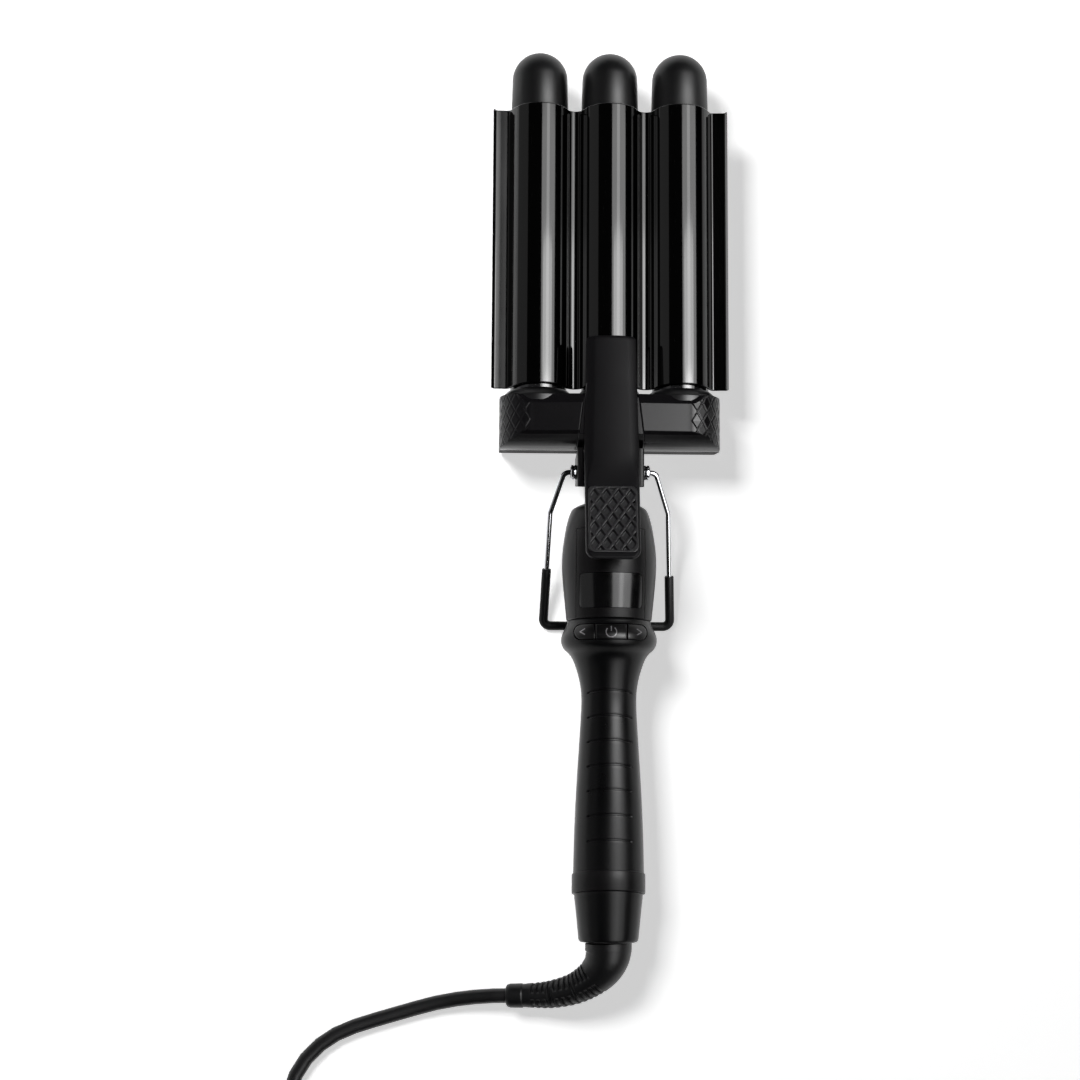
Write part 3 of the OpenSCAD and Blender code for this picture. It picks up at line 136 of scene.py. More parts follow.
def moulding(
    name, colour, roughness, grain, grain_depth, ior=1.5, patch=25, rubbed="#252426", coat=0.0, shine=0.5,
):
    """A dark moulded or coated surface: grain is the size of its texture in mm and grain_depth its depth in mm.
    Handling leaves it a little smoother in patches, and paler where an edge is rubbed."""
    material, tree = blank(name)
    where = add(tree, "TexCoord").outputs["Object"]
    fine = add(tree, "TexNoise", {"Vector": where, "Scale": 1 / (grain * MM), "Detail": 3}).outputs["Fac"]
    broad = add(tree, "TexNoise", {"Vector": where, "Scale": 1 / (patch * MM), "Detail": 2}).outputs["Fac"]
    rough = add(tree, "MapRange", {
        "Value": broad, "From Min": 0.3, "From Max": 0.7, "To Min": roughness * 0.9, "To Max": roughness * 1.12,
    }).outputs["Result"]
    edge = add(tree, "MapRange", {
        "Value": add(tree, "NewGeometry").outputs["Pointiness"],
        "From Min": 0.53, "From Max": 0.62, "To Min": 0, "To Max": 0.35,
    }).outputs["Result"]
    tone = add(tree, "Mix", {"A": linear(colour), "B": linear(rubbed), "Factor": edge}, data_type="RGBA")
    speck = add(tree, "MapRange", {
        "Value": fine, "From Min": 0.3, "From Max": 0.7, "To Min": 0.85, "To Max": 1.15,
    }).outputs["Result"]
    shade = add(tree, "VectorMath", {0: tone.outputs["Result"], 1: speck}, operation="MULTIPLY")
    bump = add(tree, "Bump", {"Height": fine, "Strength": 1, "Distance": grain_depth * MM})
    shader = add(tree, "BsdfPrincipled", {
        "Base Color": shade.outputs["Vector"], "Roughness": rough, "Normal": bump.outputs["Normal"],
        "IOR": ior, "Specular IOR Level": shine, "Coat Weight": coat, "Coat Roughness": 0.05,
    })
    add(tree, "OutputMaterial", {"Surface": shader.outputs["BSDF"]})
    return material


def place(obj, material, body, slot, *nodes):
    """Gives a piece its material and its body, and hides the CAD nodes that it stands for; slot is not used."""
    obj.data.materials.clear()
    obj.data.materials.append(material)
    link(obj)
    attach(obj, body)
    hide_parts(*nodes)
    return obj


def spline(points, steps):
    """Points of a smooth curve through the given ones, with so many steps in each span."""
    at = [Vector(p) for p in points]
    last = len(at) - 1
    made = []
    for i in range(last):
        a, b, c, d = at[max(i - 1, 0)], at[i], at[i + 1], at[min(i + 2, last)]
        for k in range(steps):
            t = k / steps
            made.append(
                b + (c - a) * (t / 2) + (a * 2 - b * 5 + c * 4 - d) * (t * t / 2)
                + (b * 3 - a - c * 3 + d) * (t * t * t / 2)
            )
    return made + [at[last]]


def smooth(x):
    """An even rise from 0 to 1 that starts and ends level."""
    x = min(max(x, 0), 1)
    return x * x * (3 - 2 * x)


def slot_of_turn(turn):
    """Column radius and layer height of the coil at this turn: out to in, in to out, and out to in again."""
    layer, step = divmod(min(int(turn), coil_slots - 1), len(coil_columns))
    return coil_columns[step if layer == 1 else 2 - step], coil_layers[layer]


def coil_point(turn):
    """Each turn stays in its slot, and moves to the next one over its last part."""
    scaled = turn * coil_slots / coil_turns
    here, there = slot_of_turn(scaled), slot_of_turn(scaled + 1)
    ease = smooth((scaled - int(scaled) - (1 - crossing)) / crossing) if scaled < coil_slots - 1 else 0
    radius, height = (here[k] + (there[k] - here[k]) * ease for k in (0, 1))
    angle = math.pi + turn * math.tau
    return coil_centre[0] + radius * math.cos(angle), coil_centre[1] + radius * math.sin(angle), height


coil_route = [coil_point(i / coil_steps) for i in range(int(coil_turns * coil_steps) + 1)]
cord_route = [Vector(p) * MM for p in cord_lead + coil_route + cord_tail]
cord_curve = bpy.data.curves.new("cord", "CURVE")
cord_curve.dimensions = "3D"
cord_curve.bevel_depth = cord_r
cord_curve.bevel_resolution = 5
cord_curve.use_fill_caps = True
cord_curve.resolution_u = 2
cord_spline = cord_curve.splines.new("POLY")
cord_spline.points.add(len(cord_route) - 1)
for point, co in zip(cord_spline.points, cord_route):
    point.co = (*co, 1)
cord_spline.use_smooth = True

# Extruded plasticised PVC: satin and slightly wavy, so a highlight runs along it unevenly.
cord_sheath = moulding("extruded_pvc_sheath", "#101011", 0.42, 2.5, 0.02, 1.53, shine=0.35)
cord = place(
    bpy.data.objects.new("mains_cord", cord_curve), cord_sheath, "swivel", "cord_sheath",
    "cord", "cord_coil", "cord_tail",
)


# Boot: a soft PVC strain relief moulded round the cord and bent with it. Its slim half is slotted, and the
# slots leave a spine along the top, so that it bends like a chain of ribs.
boot_line = [
    (0, -200.5, 23), (0, -203.5, 23), (-0.6, -207.5, 23), (-3.2, -212.5, 22), (-8, -217.1, 20.5),
    (-15, -221.1, 18), (-24.5, -223.7, 14.6), (-34, -224.5, 11.6), (-44.1, -224.8, 9.9),
]
boot_sizes = [
    (0, 7.7), (0.016, 7.7), (0.018, 9.75), (0.03, 10.2), (0.15, 10.15), (0.3, 9.3), (0.45, 8), (0.6, 6.9),
    (0.75, 6), (0.88, 5.2), (0.905, 4.95), (0.91, 5.3), (0.97, 5.2), (0.99, 4.7), (1, 3.9),
]
boot_slots = 12
boot_slots_from, boot_slots_to = 0.45, 0.86
boot_slot_depth, boot_edge_share = 0.85, 0.3
boot_slot_half, boot_slot_ease = 0.22, 0.1
boot_spine_from = 0.93
boot_full_slots = (4, 8)


def lookup(x, table):
    """Value at x in a table of pairs whose first numbers rise."""
    if x <= table[0][0]:
        return table[0][1]
    for (x0, y0), (x1, y1) in zip(table, table[1:]):
        if x <= x1:
            return y0 + (y1 - y0) * (x - x0) / max(x1 - x0, 1e-9)
    return table[-1][1]


def path_frames(path, up):
    """Point, sideways and upward direction at each point of a path, as near to the given up as they can be."""
    frames = []
    for i, p in enumerate(path):
        ahead = (path[min(i + 1, len(path) - 1)] - path[max(i - 1, 0)]).normalized()
        side = ahead.cross(up).normalized()
        frames.append((p, side, side.cross(ahead)))
    return frames


def circle(count):
    """Directions (cosine, sine) evenly round a circle."""
    return [(math.cos(math.tau * k / count), math.sin(math.tau * k / count)) for k in range(count)]


def skin(name, rings, closed=False, angle=40):
    """A smooth mesh over rings that have the same number of points; closed joins the last ring to the first."""
    count = len(rings[0])
    points = [p for ring in rings for p in ring]
    spans = len(rings) if closed else len(rings) - 1
    faces = [
        (i * count + k, i * count + (k + 1) % count,
         (i + 1) % len(rings) * count + (k + 1) % count, (i + 1) % len(rings) * count + k)
        for i in range(spans) for k in range(count)
    ]
    if not closed:
        faces += [tuple(range(count))[::-1], tuple(range(len(points) - count, len(points)))]
    return solid(name, points, faces, angle)


def solid(name, points, faces, angle=40):
    """A closed mesh with outward faces, smooth except where two faces meet at more than the angle."""
    mesh = bpy.data.meshes.new(name)
    mesh.from_pydata([tuple(p) for p in points], [], faces)
    form = bmesh.new()
    form.from_mesh(mesh)
    bmesh.ops.remove_doubles(form, verts=form.verts, dist=1e-6)
    bmesh.ops.dissolve_degenerate(form, edges=form.edges, dist=1e-7)
    bmesh.ops.recalc_face_normals(form, faces=form.faces)
    form.to_mesh(mesh)
    form.free()
    mesh.shade_smooth()
    mesh.set_sharp_from_angle(angle=math.radians(angle))
    return bpy.data.objects.new(name, mesh)


def boot_radius(t, lift):
    """Radius in mm at a share t of the boot's length; lift is 1 on its upper side and -1 on its lower side."""
    radius = lookup(t, boot_sizes)
    at = (t - boot_slots_from) / (boot_slots_to - boot_slots_from) * boot_slots
    if not 0 < at < boot_slots:
        return radius
    rib = smooth((abs(at % 1 - 0.5) - boot_slot_half) / boot_slot_ease)
    spine = 0 if int(at) in boot_full_slots else smooth((abs(lift) - boot_spine_from) / 0.05)
    deep = boot_edge_share + (1 - boot_edge_share) * smooth((abs(lift) - 0.15) / 0.25)
    return radius - boot_slot_depth * deep * (1 - rib) * (1 - spine)


boot_sides = 72
boot_steps = 48
boot_path = [p * MM for p in spline(boot_line, boot_steps)]
boot_rings = []
for i, (p, side, lift) in enumerate(path_frames(boot_path, Vector((0, 0, 1)))):
    share = i / (len(boot_path) - 1)
    boot_rings.append([p + (side * c + lift * s) * (boot_radius(share, s) * MM) for c, s in circle(boot_sides)])
# Soft moulded PVC: duller than the sheath, with a fine drawn-out texture from its mould.
boot_pvc = moulding("soft_moulded_pvc", "#0e0e0f", 0.4, 0.5, 0.012, 1.53, shine=0.26)
boot = place(skin("cord_boot_ribbed", boot_rings), boot_pvc, "swivel", "boot_rubber", "cord_boot")


# Plug: a flat two-pin plug moulded in one shot over the crimped cord. Its pins have a slim core under an
# insulating sleeve and a plated bare tip.
plug_y, plug_z = -352, 6.85
plug_form = [
    (-8, 3.7, 3.7, 1), (-7.4, 4.2, 4.2, 1), (3, 5.4, 5, 1), (6, 6, 6.2, 0.8), (8.5, 6.2, 6.75, 0.5),
    (15, 7, 6.8, 0.34), (20, 9.4, 6.82, 0.3), (25, 14.2, 6.84, 0.28), (29.4, 17, 6.85, 0.26),
    (33, 17.6, 6.85, 0.25), (40.6, 17.65, 6.85, 0.25), (41.5, 17.3, 6.5, 0.25), (42, 16.4, 5.6, 0.25),
]
plug_grooves, plug_groove_depth = (-5, -2.6, -0.2, 2.2), 0.7
plug_steps = 6
pin_pitch = 18.6
pin_outline = [
    (1.5, 35), (1.5, 52), (1.75, 52), (2, 52.3), (2, 60), (1.9, 60.5), (1.6, 60.85), (1.1, 61), (0, 61),
]
sleeve_outline = [(1.5, 40), (1.9, 40), (1.9, 51.7), (1.7, 51.95), (1.5, 51.95)]


def superellipse(half_w, half_h, squareness, count=56):
    """Points of a section between an ellipse, at squareness 1, and a rounded rectangle, near 0.2."""
    return [
        (math.copysign(abs(c) ** squareness, c) * half_w, math.copysign(abs(s) ** squareness, s) * half_h)
        for c, s in circle(count)
    ]


def lathe(name, outline, segments=96, axis="Y", closed=False):
    """A turned solid from (radius, place along the axis) pairs in mm, round the handle's axis or along X or Z.
    closed makes it a ring with a bore, whose outline closes on itself."""
    rings = []
    for radius, at in outline:
        r, at = max(radius, 1e-3) * MM, at * MM
        rings.append([
            Vector({"Y": (r * c, at, r * s), "X": (at, r * c, r * s), "Z": (r * c, r * s, at)}[axis])
            for c, s in circle(segments)
        ])
    return skin(name, rings, closed)


def moved(obj, x=0, y=0, z=0):
    """Moves a mesh's points, in mm."""
    obj.data.transform(Matrix.Translation(Vector((x, y, z)) * MM))
    return obj


def on_pins(name, outline):
    """The same turned piece on each of the plug's two pins."""
    return [
        moved(lathe(f"{name}_{i}", outline, 40, "X"), 0, plug_y + side * pin_pitch / 2, plug_z)
        for i, side in enumerate((-1, 1))
    ]


plug_stations = []
for i in range(len(plug_form) - 1):
    for k in range(plug_steps):
        t = k / plug_steps
        plug_stations.append([a + (b - a) * t for a, b in zip(plug_form[i], plug_form[i + 1])])
plug_stations.append(list(plug_form[-1]))
plug_rings = []
for x, half_w, half_t, squareness in plug_stations:
    bite = max(0, *(plug_groove_depth - abs(x - g) for g in plug_grooves))
    plug_rings.append([
        Vector((x, plug_y + w, plug_z + h)) * MM
        for w, h in superellipse(half_w - bite, half_t - bite, squareness)
    ])
# Rigid moulded PVC: a satin black with a spark-eroded grain, drawn at 0.4 mm so that it shows.
plug_pvc = moulding("rigid_moulded_pvc", "#1c1c1d", 0.4, 0.4, 0.012, 1.54)
plug = place(skin("plug_moulding", plug_rings), plug_pvc, "swivel", "plug_plastic", "plug_body")
sleeves = [place(made, plug_pvc, "swivel", "plug_plastic") for made in on_pins("pin_sleeve", sleeve_outline)]


# Chromed parts: nickel under a thin bright chrome plating, which mirrors the room in a slightly cool grey.
# The plating follows drawing marks of the wire, so its reflections waver a little.
def bright_plating(name, colour, roughness, waver):
    """A plated or turned metal: waver is the size in mm of the marks that its reflections follow."""
    material, tree = blank(name)
    where = add(tree, "TexCoord").outputs["Object"]
    marks = add(tree, "TexNoise", {"Vector": where, "Scale": 1 / (waver * MM), "Detail": 4}).outputs["Fac"]
    rough = add(tree, "MapRange", {
        "Value": marks, "From Min": 0.35, "From Max": 0.75,
        "To Min": roughness * 0.7, "To Max": roughness * 1.5,
    }).outputs["Result"]
    tint = add(tree, "Mix", {
        "A": linear(colour), "B": [c * 0.86 for c in linear(colour)[:3]] + [1], "Factor": marks,
    }, data_type="RGBA")
    bump = add(tree, "Bump", {"Height": marks, "Strength": 1, "Distance": 0.004 * MM})
    shader = add(tree, "BsdfPrincipled", {
        "Base Color": tint.outputs["Result"], "Metallic": 1, "Roughness": rough,
        "Normal": bump.outputs["Normal"],
    })
    add(tree, "OutputMaterial", {"Surface": shader.outputs["BSDF"]})
    return material


bright_chrome = bright_plating("bright_chrome_plate", "#dcdde0", 0.08, 3)
pins = [
    place(pin, bright_chrome, "swivel", "chrome", *nodes)
    for pin, nodes in zip(on_pins("plug_pin", pin_outline), (["plug_pins"], []))
]


# Tie: a strip of woven hook and loop tape, 9 mm wide, round the coil's turns. Its end is pressed down on
# itself, and it keeps the put-away cord from springing open.
tie_turn = math.radians(35)
tie_half_w, tie_t = 4.5, 0.8
coil_inner, coil_outer, coil_top = 28.8, 48, 19.2
tie_corner, tie_lift = 3.2, 0.4


def tie_ring(grow, count=16):
    """The strip's loop round the coil's section, as (distance from the coil's middle, height)."""
    r = tie_corner + grow
    points = []
    far, near = coil_outer - tie_corner, coil_inner + tie_corner
    high, low = coil_top - tie_corner, tie_corner + tie_lift
    floor = 0.02 if grow > tie_lift else 0.5
    for cx, cz, start in ((far, high, 0), (near, high, 90), (near, low, 180), (far, low, 270)):
        for k in range(count + 1):
            a = math.radians(start + 90 * k / count)
            points.append((cx + r * math.cos(a), max(cz + r * math.sin(a), floor)))
    return points


tie_out = Vector((math.cos(tie_turn), math.sin(tie_turn), 0))
tie_side = Vector((-math.sin(tie_turn), math.cos(tie_turn), 0))
tie_middle = Vector((coil_centre[0], coil_centre[1], 0))
tie_rings = []
for inner, outer in zip(tie_ring(0.05), tie_ring(tie_t)):
    ring = []
    for across, (far, high) in (
        (-tie_half_w, inner), (-tie_half_w, outer), (-tie_half_w * 0.5, outer), (0, outer),
        (tie_half_w * 0.5, outer), (tie_half_w, outer), (tie_half_w, inner), (0, inner),
    ):
        ring.append((tie_middle + tie_out * far + tie_side * across + Vector((0, 0, high))) * MM)
    tie_rings.append(ring)
tie = skin("hook_and_loop_tie", tie_rings, closed=True)
# Hook and loop tape: a napped nylon weave that scatters light, so it reads as a soft black with no highlight.
tie_tape, tie_tree = blank("napped_nylon_tape")
tie_place = add(tie_tree, "TexCoord").outputs["Object"]
tie_loops = add(tie_tree, "TexVoronoi", {"Vector": tie_place, "Scale": 1 / (0.6 * MM)})
tie_bump = add(tie_tree, "Bump", {"Height": tie_loops.outputs["Distance"], "Strength": 1, "Distance": 0.2 * MM})
tie_tone = add(tie_tree, "Mix", {
    "A": linear("#2a2a2b"), "B": linear("#0f0f10"), "Factor": tie_loops.outputs["Distance"],
}, data_type="RGBA")
tie_shader = add(tie_tree, "BsdfPrincipled", {
    "Base Color": tie_tone.outputs["Result"], "Roughness": 0.9, "Sheen Weight": 0.4, "Sheen Roughness": 0.4,
    "Normal": tie_bump.outputs["Normal"],
})
add(tie_tree, "OutputMaterial", {"Surface": tie_shader.outputs["BSDF"]})
place(tie, tie_tape, "swivel", "tie_fabric", "cord_tie")


# Barrels: three drawn aluminium tubes, coated black outside, with a heater bar wedged across each bore. They
# stand in the crossbar's collars and are closed by moulded cool tips.
axis_z = 23
barrel_pitch = 32
barrel_places, barrel_names = (-1, 0, 1), ("left", "centre", "right")
barrel_outline = [(11.7, 30), (12.7, 30), (12.7, 172.5), (11.7, 172.5)]
tip_straight, dome_r = 187.9, 12.6
tip_outline = [(10, 172.3), (12.5, 172.5), (12.8, 172.62), (13, 173)] + [
    (dome_r * math.cos(math.radians(a)), tip_straight + dome_r * math.sin(math.radians(a)))
    for a in range(0, 91, 5)
]


# Sprayed and baked ceramic coating: a hard, even black that mirrors lamps, with its edges a little soft.
ceramic_coat = moulding("baked_ceramic_coating", "#0a0a0b", 0.11, 1.2, 0.002, 1.6, rubbed="#3a3a3b")
# Heat-proof PPS moulding: matt, with a spark-eroded grain of 0.3 mm that breaks up its highlight.
pps_matt = moulding("heatproof_pps_moulding", "#0c0c0d", 0.38, 0.3, 0.014, 1.55, shine=0.32)
for i, name in zip(barrel_places, barrel_names):
    barrel = moved(lathe(f"barrel_tube_{name}", barrel_outline, 128, closed=True), i * barrel_pitch, 0, axis_z)
    place(barrel, ceramic_coat, "root", "barrel_coating", f"barrel_{name}")
    tip = moved(lathe(f"cool_tip_{name}", tip_outline, 128), i * barrel_pitch, 0, axis_z)
    place(tip, pps_matt, "root", "cap_plastic", f"tip_cap_{name}")


def dress(material, *nodes):
    """Gives CAD nodes that stay as they are their material."""
    for name in nodes:
        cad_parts[name].data.materials.clear()
        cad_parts[name].data.materials.append(material)


# Extruded aluminium bars for the heaters: mill finish, with draw lines along the bar.
mill_aluminium, mill_tree = blank("mill_finish_aluminium")
mill_place = add(mill_tree, "Mapping", {
    "Vector": add(mill_tree, "TexCoord").outputs["Object"], "Scale": (1, 0.02, 1),
})
mill_lines = add(mill_tree, "TexNoise", {"Vector": mill_place.outputs["Vector"], "Scale": 1 / (0.2 * MM)})
mill_rough = add(mill_tree, "MapRange", {"Value": mill_lines.outputs["Fac"], "To Min": 0.25, "To Max": 0.5})
mill_bump = add(mill_tree, "Bump", {"Height": mill_lines.outputs["Fac"], "Strength": 1, "Distance": 0.01 * MM})
mill_shader = add(mill_tree, "BsdfPrincipled", {
    "Base Color": linear("#c9cacc"), "Metallic": 1, "Roughness": mill_rough.outputs["Result"],
    "Normal": mill_bump.outputs["Normal"],
})
add(mill_tree, "OutputMaterial", {"Surface": mill_shader.outputs["BSDF"]})
dress(mill_aluminium, "heater_left", "heater_centre", "heater_right")


# Collars: heat-proof PPS rings that hold the barrels on the crossbar. The outer two flare into cones there.
# Each is one moulding, slipped over its barrel.
cone_outline = [
    (12.75, 36), (17.2, 36), (17.35, 38.4), (17.3, 38.8), (17.05, 39.15), (13.75, 42.1), (13.4, 42.4),
    (13, 42.5), (12.75, 42.3),
]
ring_outline = [(12.75, 36), (13.3, 36), (13.3, 42.2), (13.1, 42.5), (12.9, 42.5), (12.75, 42.3)]
collar_pps = moulding("satin_pps_moulding", "#101011", 0.34, 0.3, 0.006, 1.55, shine=0.32)
for i, name in zip(barrel_places, barrel_names):
    collar = lathe(f"barrel_collar_{name}", cone_outline if i else ring_outline, 128, closed=True)
    place(moved(collar, i * barrel_pitch, 0, axis_z), collar_pps, "root", "collar_plastic", f"collar_{name}")


# Crossbar: two shells moulded in black ABS, screwed together from the back. The front shell's rounded ends
# are broken into flat diamond facets. Its top edge is chamfered, and its bottom edge falls away in a curved
# belly.
bar_half, bar_top, bar_split = 49.5, 40.5, axis_z
bar_low, bar_high = 15, 39
front_r, back_r = 14.5, 4
bar_profile = [(20.5, 39.2), (22, 40.5), (34.4, 40.5), (38.6, 38.8), (39, 37.9)]
bar_belly = [(15, 27), (15.7, 31), (17.3, 35.5), (20.5, 39.2)]
face_rise, wall_draft = 0.05, 0.097
rise_reach, draft_from, draft_reach = 25, 33, 6
edge_r = 0.6
row_reach, row_spacing, end_steps = 23, 0.35, 110
facet_w, facet_l = 5.1, 8.1
facet_seam_w, facet_seam = 0.125, 0.24
facet_from, facet_y = 0.4, 31.05
recess_depth = 1.1
recess_line = [(15, 14.9), (39, 12)]


def filleted(points, radius, steps=5):
    """An open outline with its corners rounded."""
    made = [Vector(points[0])]
    for a, b, c in zip(points, points[1:], points[2:]):
        b = Vector(b)
        u, v = (Vector(a) - b).normalized(), (Vector(c) - b).normalized()
        half = u.angle(v) / 2
        reach = min(radius / math.tan(half), (Vector(a) - b).length / 2, (Vector(c) - b).length / 2)
        for k in range(steps + 1):
            t = k / steps
            made.append((b + u * reach) * (1 - t) ** 2 + b * (2 * t * (1 - t)) + (b + v * reach) * t ** 2)
    return made + [Vector(points[-1])]


def front_point(u):
    """Place (x, z) on the crossbar's end, at an arc length u from where the flat front ends."""
    arc = front_r * math.pi / 2
    if u < 0:
        return bar_half - front_r + u, bar_top
    if u < arc:
        a = u / front_r
        return bar_half - front_r + front_r * math.sin(a), bar_top - front_r + front_r * math.cos(a)
    return bar_half, bar_top - front_r - (u - arc)


def faceted(u, y):
    """Place on the lattice of diamond facets. Their corners lie on the round end, and each creases halfway."""
    m, n = (u - facet_from) / facet_w, (y - facet_y) / facet_l
    i, j = round(m + n), round(m - n)
    cm, cn = (i + j) / 2, (i - j) / 2
    dm, dn = m - cm, n - cn
    if cm - 0.5 < -0.01:
        return front_point(u)
    left, right = front_point(facet_from + (cm - 0.5) * facet_w), front_point(facet_from + (cm + 0.5) * facet_w)
    peak = front_point(facet_from + cm * facet_w)
    share = min(abs(dn) * 2, 1)
    along = 0.5 if share > 0.999 else 0.5 + dm / (1 - share)
    flat = [(left[k] + (right[k] - left[k]) * along) * (1 - share) + peak[k] * share for k in (0, 1)]
    seam = max(0, 1 - (0.5 - abs(dm) - abs(dn)) / facet_seam_w) * facet_seam
    middle = (bar_half - front_r, bar_top - front_r)
    out = Vector((flat[0] - middle[0], flat[1] - middle[1])).normalized()
    return flat[0] - out[0] * seam, flat[1] - out[1] * seam


def bar_row(y, ceiling, inset):
    """Section of the front shell at y: up the left side, over the top and down the right side."""
    u_end = row_reach + bar_top - bar_split - front_r + 0.2
    u_top = front_r * math.acos(min(max((ceiling - bar_top + front_r) / front_r, -1), 1))
    end_x = front_point(u_top)[0]
    side = []
    for k in range(end_steps + 1):
        u = u_top + (u_end - u_top) * (k / end_steps)
        x, z = faceted(u, y)
        side.append((x - inset, min(z, ceiling) if u > u_top else ceiling))
    side = [(x, max(z, bar_split + 0.05)) for x, z in side]
    half_recess, sunk = lookup(y, recess_line), min(ceiling, bar_top - recess_depth)
    top = [(end_x - 1.5, ceiling), (end_x - 5, ceiling)]
    top += [(half_recess + d, ceiling) for d in (12, 6, 2, 0.45)]
    top += [(half_recess + 0.15, ceiling - 0.15), (half_recess, min(ceiling, bar_top - recess_depth + 0.15))]
    top += [(half_recess * s - 0.2, sunk) for s in (1, 0.66, 0.33)]
    right = [(0, sunk)] + top[::-1] + side
    return [(-x, z) for x, z in right[:0:-1]] + right


bar_line = [p.to_2d() for p in spline([(y, z, 0) for y, z in bar_belly], 10)][:-1]
bar_line += filleted([Vector(p) for p in bar_profile], edge_r, 6)
bar_rows = []
for a, b in zip(bar_line, bar_line[1:]):
    count = max(1, round((b - a).length / row_spacing))
    bar_rows += [a + (b - a) * (k / count) for k in range(count)]
bar_rows.append(bar_line[-1])
front_rings = []
for y, ceiling, inset in (
    [(bar_low, 26.1, 0.8), (bar_low + 0.02, 26.6, 0.35)]
    + [(y + 0.05, z, 0.22 * max(0, 1 - (y - bar_low) / 0.8)) for y, z in bar_rows]
    + [(bar_high, 35, 0.5)]
):
    ring = []
    for x, z in bar_row(y, ceiling, inset):
        inward = min(max(bar_half - front_r - abs(x), 0), rise_reach)
        rise = face_rise * inward * (z - bar_split) / (bar_top - bar_split)
        draft = wall_draft * max(draft_from - z, 0) * max(0, 1 - (y - bar_low) / draft_reach)
        ring.append(Vector((x, y + draft, z + rise)) * MM)
    front_rings.append(ring)
front_shell = skin("crossbar_front_shell", front_rings, angle=6.5)
# ABS from a blasted and lightly polished mould: smooth enough that each facet takes its own tone.
smooth_abs = moulding("smooth_abs_moulding", "#131214", 0.22, 0.25, 0.004, 1.52, shine=0.2)
place(front_shell, smooth_abs, "root", "body_plastic", "crossbar_front")
# ABS with a fine spark-eroded grain, 0.25 mm: a satin black whose highlights spread softly over an edge.
satin_abs = moulding("satin_abs_moulding", "#0d0c0d", 0.33, 0.25, 0.006, 1.52, shine=0.18)


def settled(obj):
    """Applies the object's modifiers."""
    link(obj)
    bpy.context.view_layer.update()
    mesh = bpy.data.meshes.new_from_object(obj.evaluated_get(bpy.context.evaluated_depsgraph_get()))
    obj.modifiers.clear()
    obj.data = mesh
    return obj


def cut(obj, cutter, operation="DIFFERENCE", angle=35):
    """Takes the cutter away from a solid, or keeps only what is in both, and removes the cutter."""
    link(cutter)
    change = obj.modifiers.new("cut", "BOOLEAN")
    change.operation, change.object, change.solver = operation, cutter, "EXACT"
    settled(obj)
    bpy.data.objects.remove(cutter)
    obj.data.shade_smooth()
    obj.data.set_sharp_from_angle(angle=math.radians(angle))
    return obj


def softened(obj, width, segments=2, angle=32):
    """Rounds a solid's sharp edges, as a mould does."""
    change = obj.modifiers.new("soft_edges", "BEVEL")
    change.width, change.segments = width * MM, segments
    change.limit_method, change.angle_limit = "ANGLE", math.radians(angle)
    change.harden_normals = True
    return settled(obj)


def prism(name, outline, start, end, axis="Z"):
    """A straight solid in mm: its outline is in X and Y, or for axis Y in X and Z, or for axis X in Y and Z."""
    return skin(name, [
        [Vector({"Z": (a, b, at), "Y": (a, at, b), "X": (at, a, b)}[axis]) * MM for a, b in outline]
        for at in (start, end)
    ])


def round_corners(points, radius, steps=6):
    """A closed outline with its corners rounded; radius is one number or one for each corner."""
    made = []
    for i, point in enumerate(points):
        r = radius[i] if isinstance(radius, (list, tuple)) else radius
        trio = [points[i - 1], point, points[(i + 1) % len(points)]]
        made += [tuple(p) for p in filleted([Vector(p) for p in trio], r, steps)[1:-1]]
    return made


back_plan = round_corners(
    [(-bar_half, 0), (bar_half, 0), (bar_half, bar_split - 0.05), (-bar_half, bar_split - 0.05)],
    [back_r, back_r, 0.01, 0.01], 8,
)
back_shell = prism("crossbar_back_shell", back_plan, bar_low, bar_high, "Y")
bar_chamfers = prism("chamfers", [
    (bar_low + 4, 0), (bar_high - 2, 0), (bar_high, 2), (bar_high, 30), (bar_low + 0.1, 30),
    (bar_low + 3.5, 0.8),
], -60, 60, "X")
cut(back_shell, bar_chamfers, "INTERSECT")
screw_y = 21.5
for x in (-44.16, -16, 16, 44.16):
    cut(back_shell, moved(lathe("well", [(2.75, -3), (2.75, 2.1)], 48, "Z"), x, screw_y, 0))
# The back shell's grain is coarser, so that it hides scuffs from a table: a matt black with hardly a
# highlight.
matt_abs = moulding("coarse_grained_abs", "#0d0c0d", 0.55, 0.6, 0.02, 1.52, shine=0.1)
place(softened(back_shell, 0.4), matt_abs, "root", "body_plastic", "crossbar_back")


# Screws: four steel pan heads sunk in the back shell. The hinge's tube and spring and the plate's rivets are
# plated like them, with zinc: a bluish grey with a faint crystalline cloudiness.
zinc_plate = bright_plating("zinc_plated_steel", "#b4b6ba", 0.28, 1.2)
dress(zinc_plate, "crossbar_screws", "hinge_tube", "torsion_spring", "plate_rivets")


# Neck block: the narrow ABS moulding between the crossbar and the handle. Its two cheeks hold the hinge, and
# a round spigot runs through it from the handle into the crossbar.
neck_outline = round_corners([
    (-14.75, 6), (14.75, 6), (14.75, 38), (12, 38), (12, 26.3), (-12, 26.3), (-12, 38), (-14.75, 38),
], [2, 2, 2, 0.5, 0.8, 0.8, 0.5, 2])
neck_draft = 0.15
neck = prism("neck_block_moulding", neck_outline, -3, 14.98, "Y")
for vertex in neck.data.vertices:
    if vertex.co.y < 0:
        vertex.co.y += neck_draft * max(41 * MM - vertex.co.z, 0)
softened(neck, 0.5)
place(neck, satin_abs, "root", "body_plastic", "neck_block")
spigot = lathe("neck_spigot", [(9.3, -21), (9.5, -20.6), (9.5, 20.4), (9.3, 20.8)], 72)
place(moved(spigot, 0, 0, axis_z), satin_abs, "root", "body_plastic")


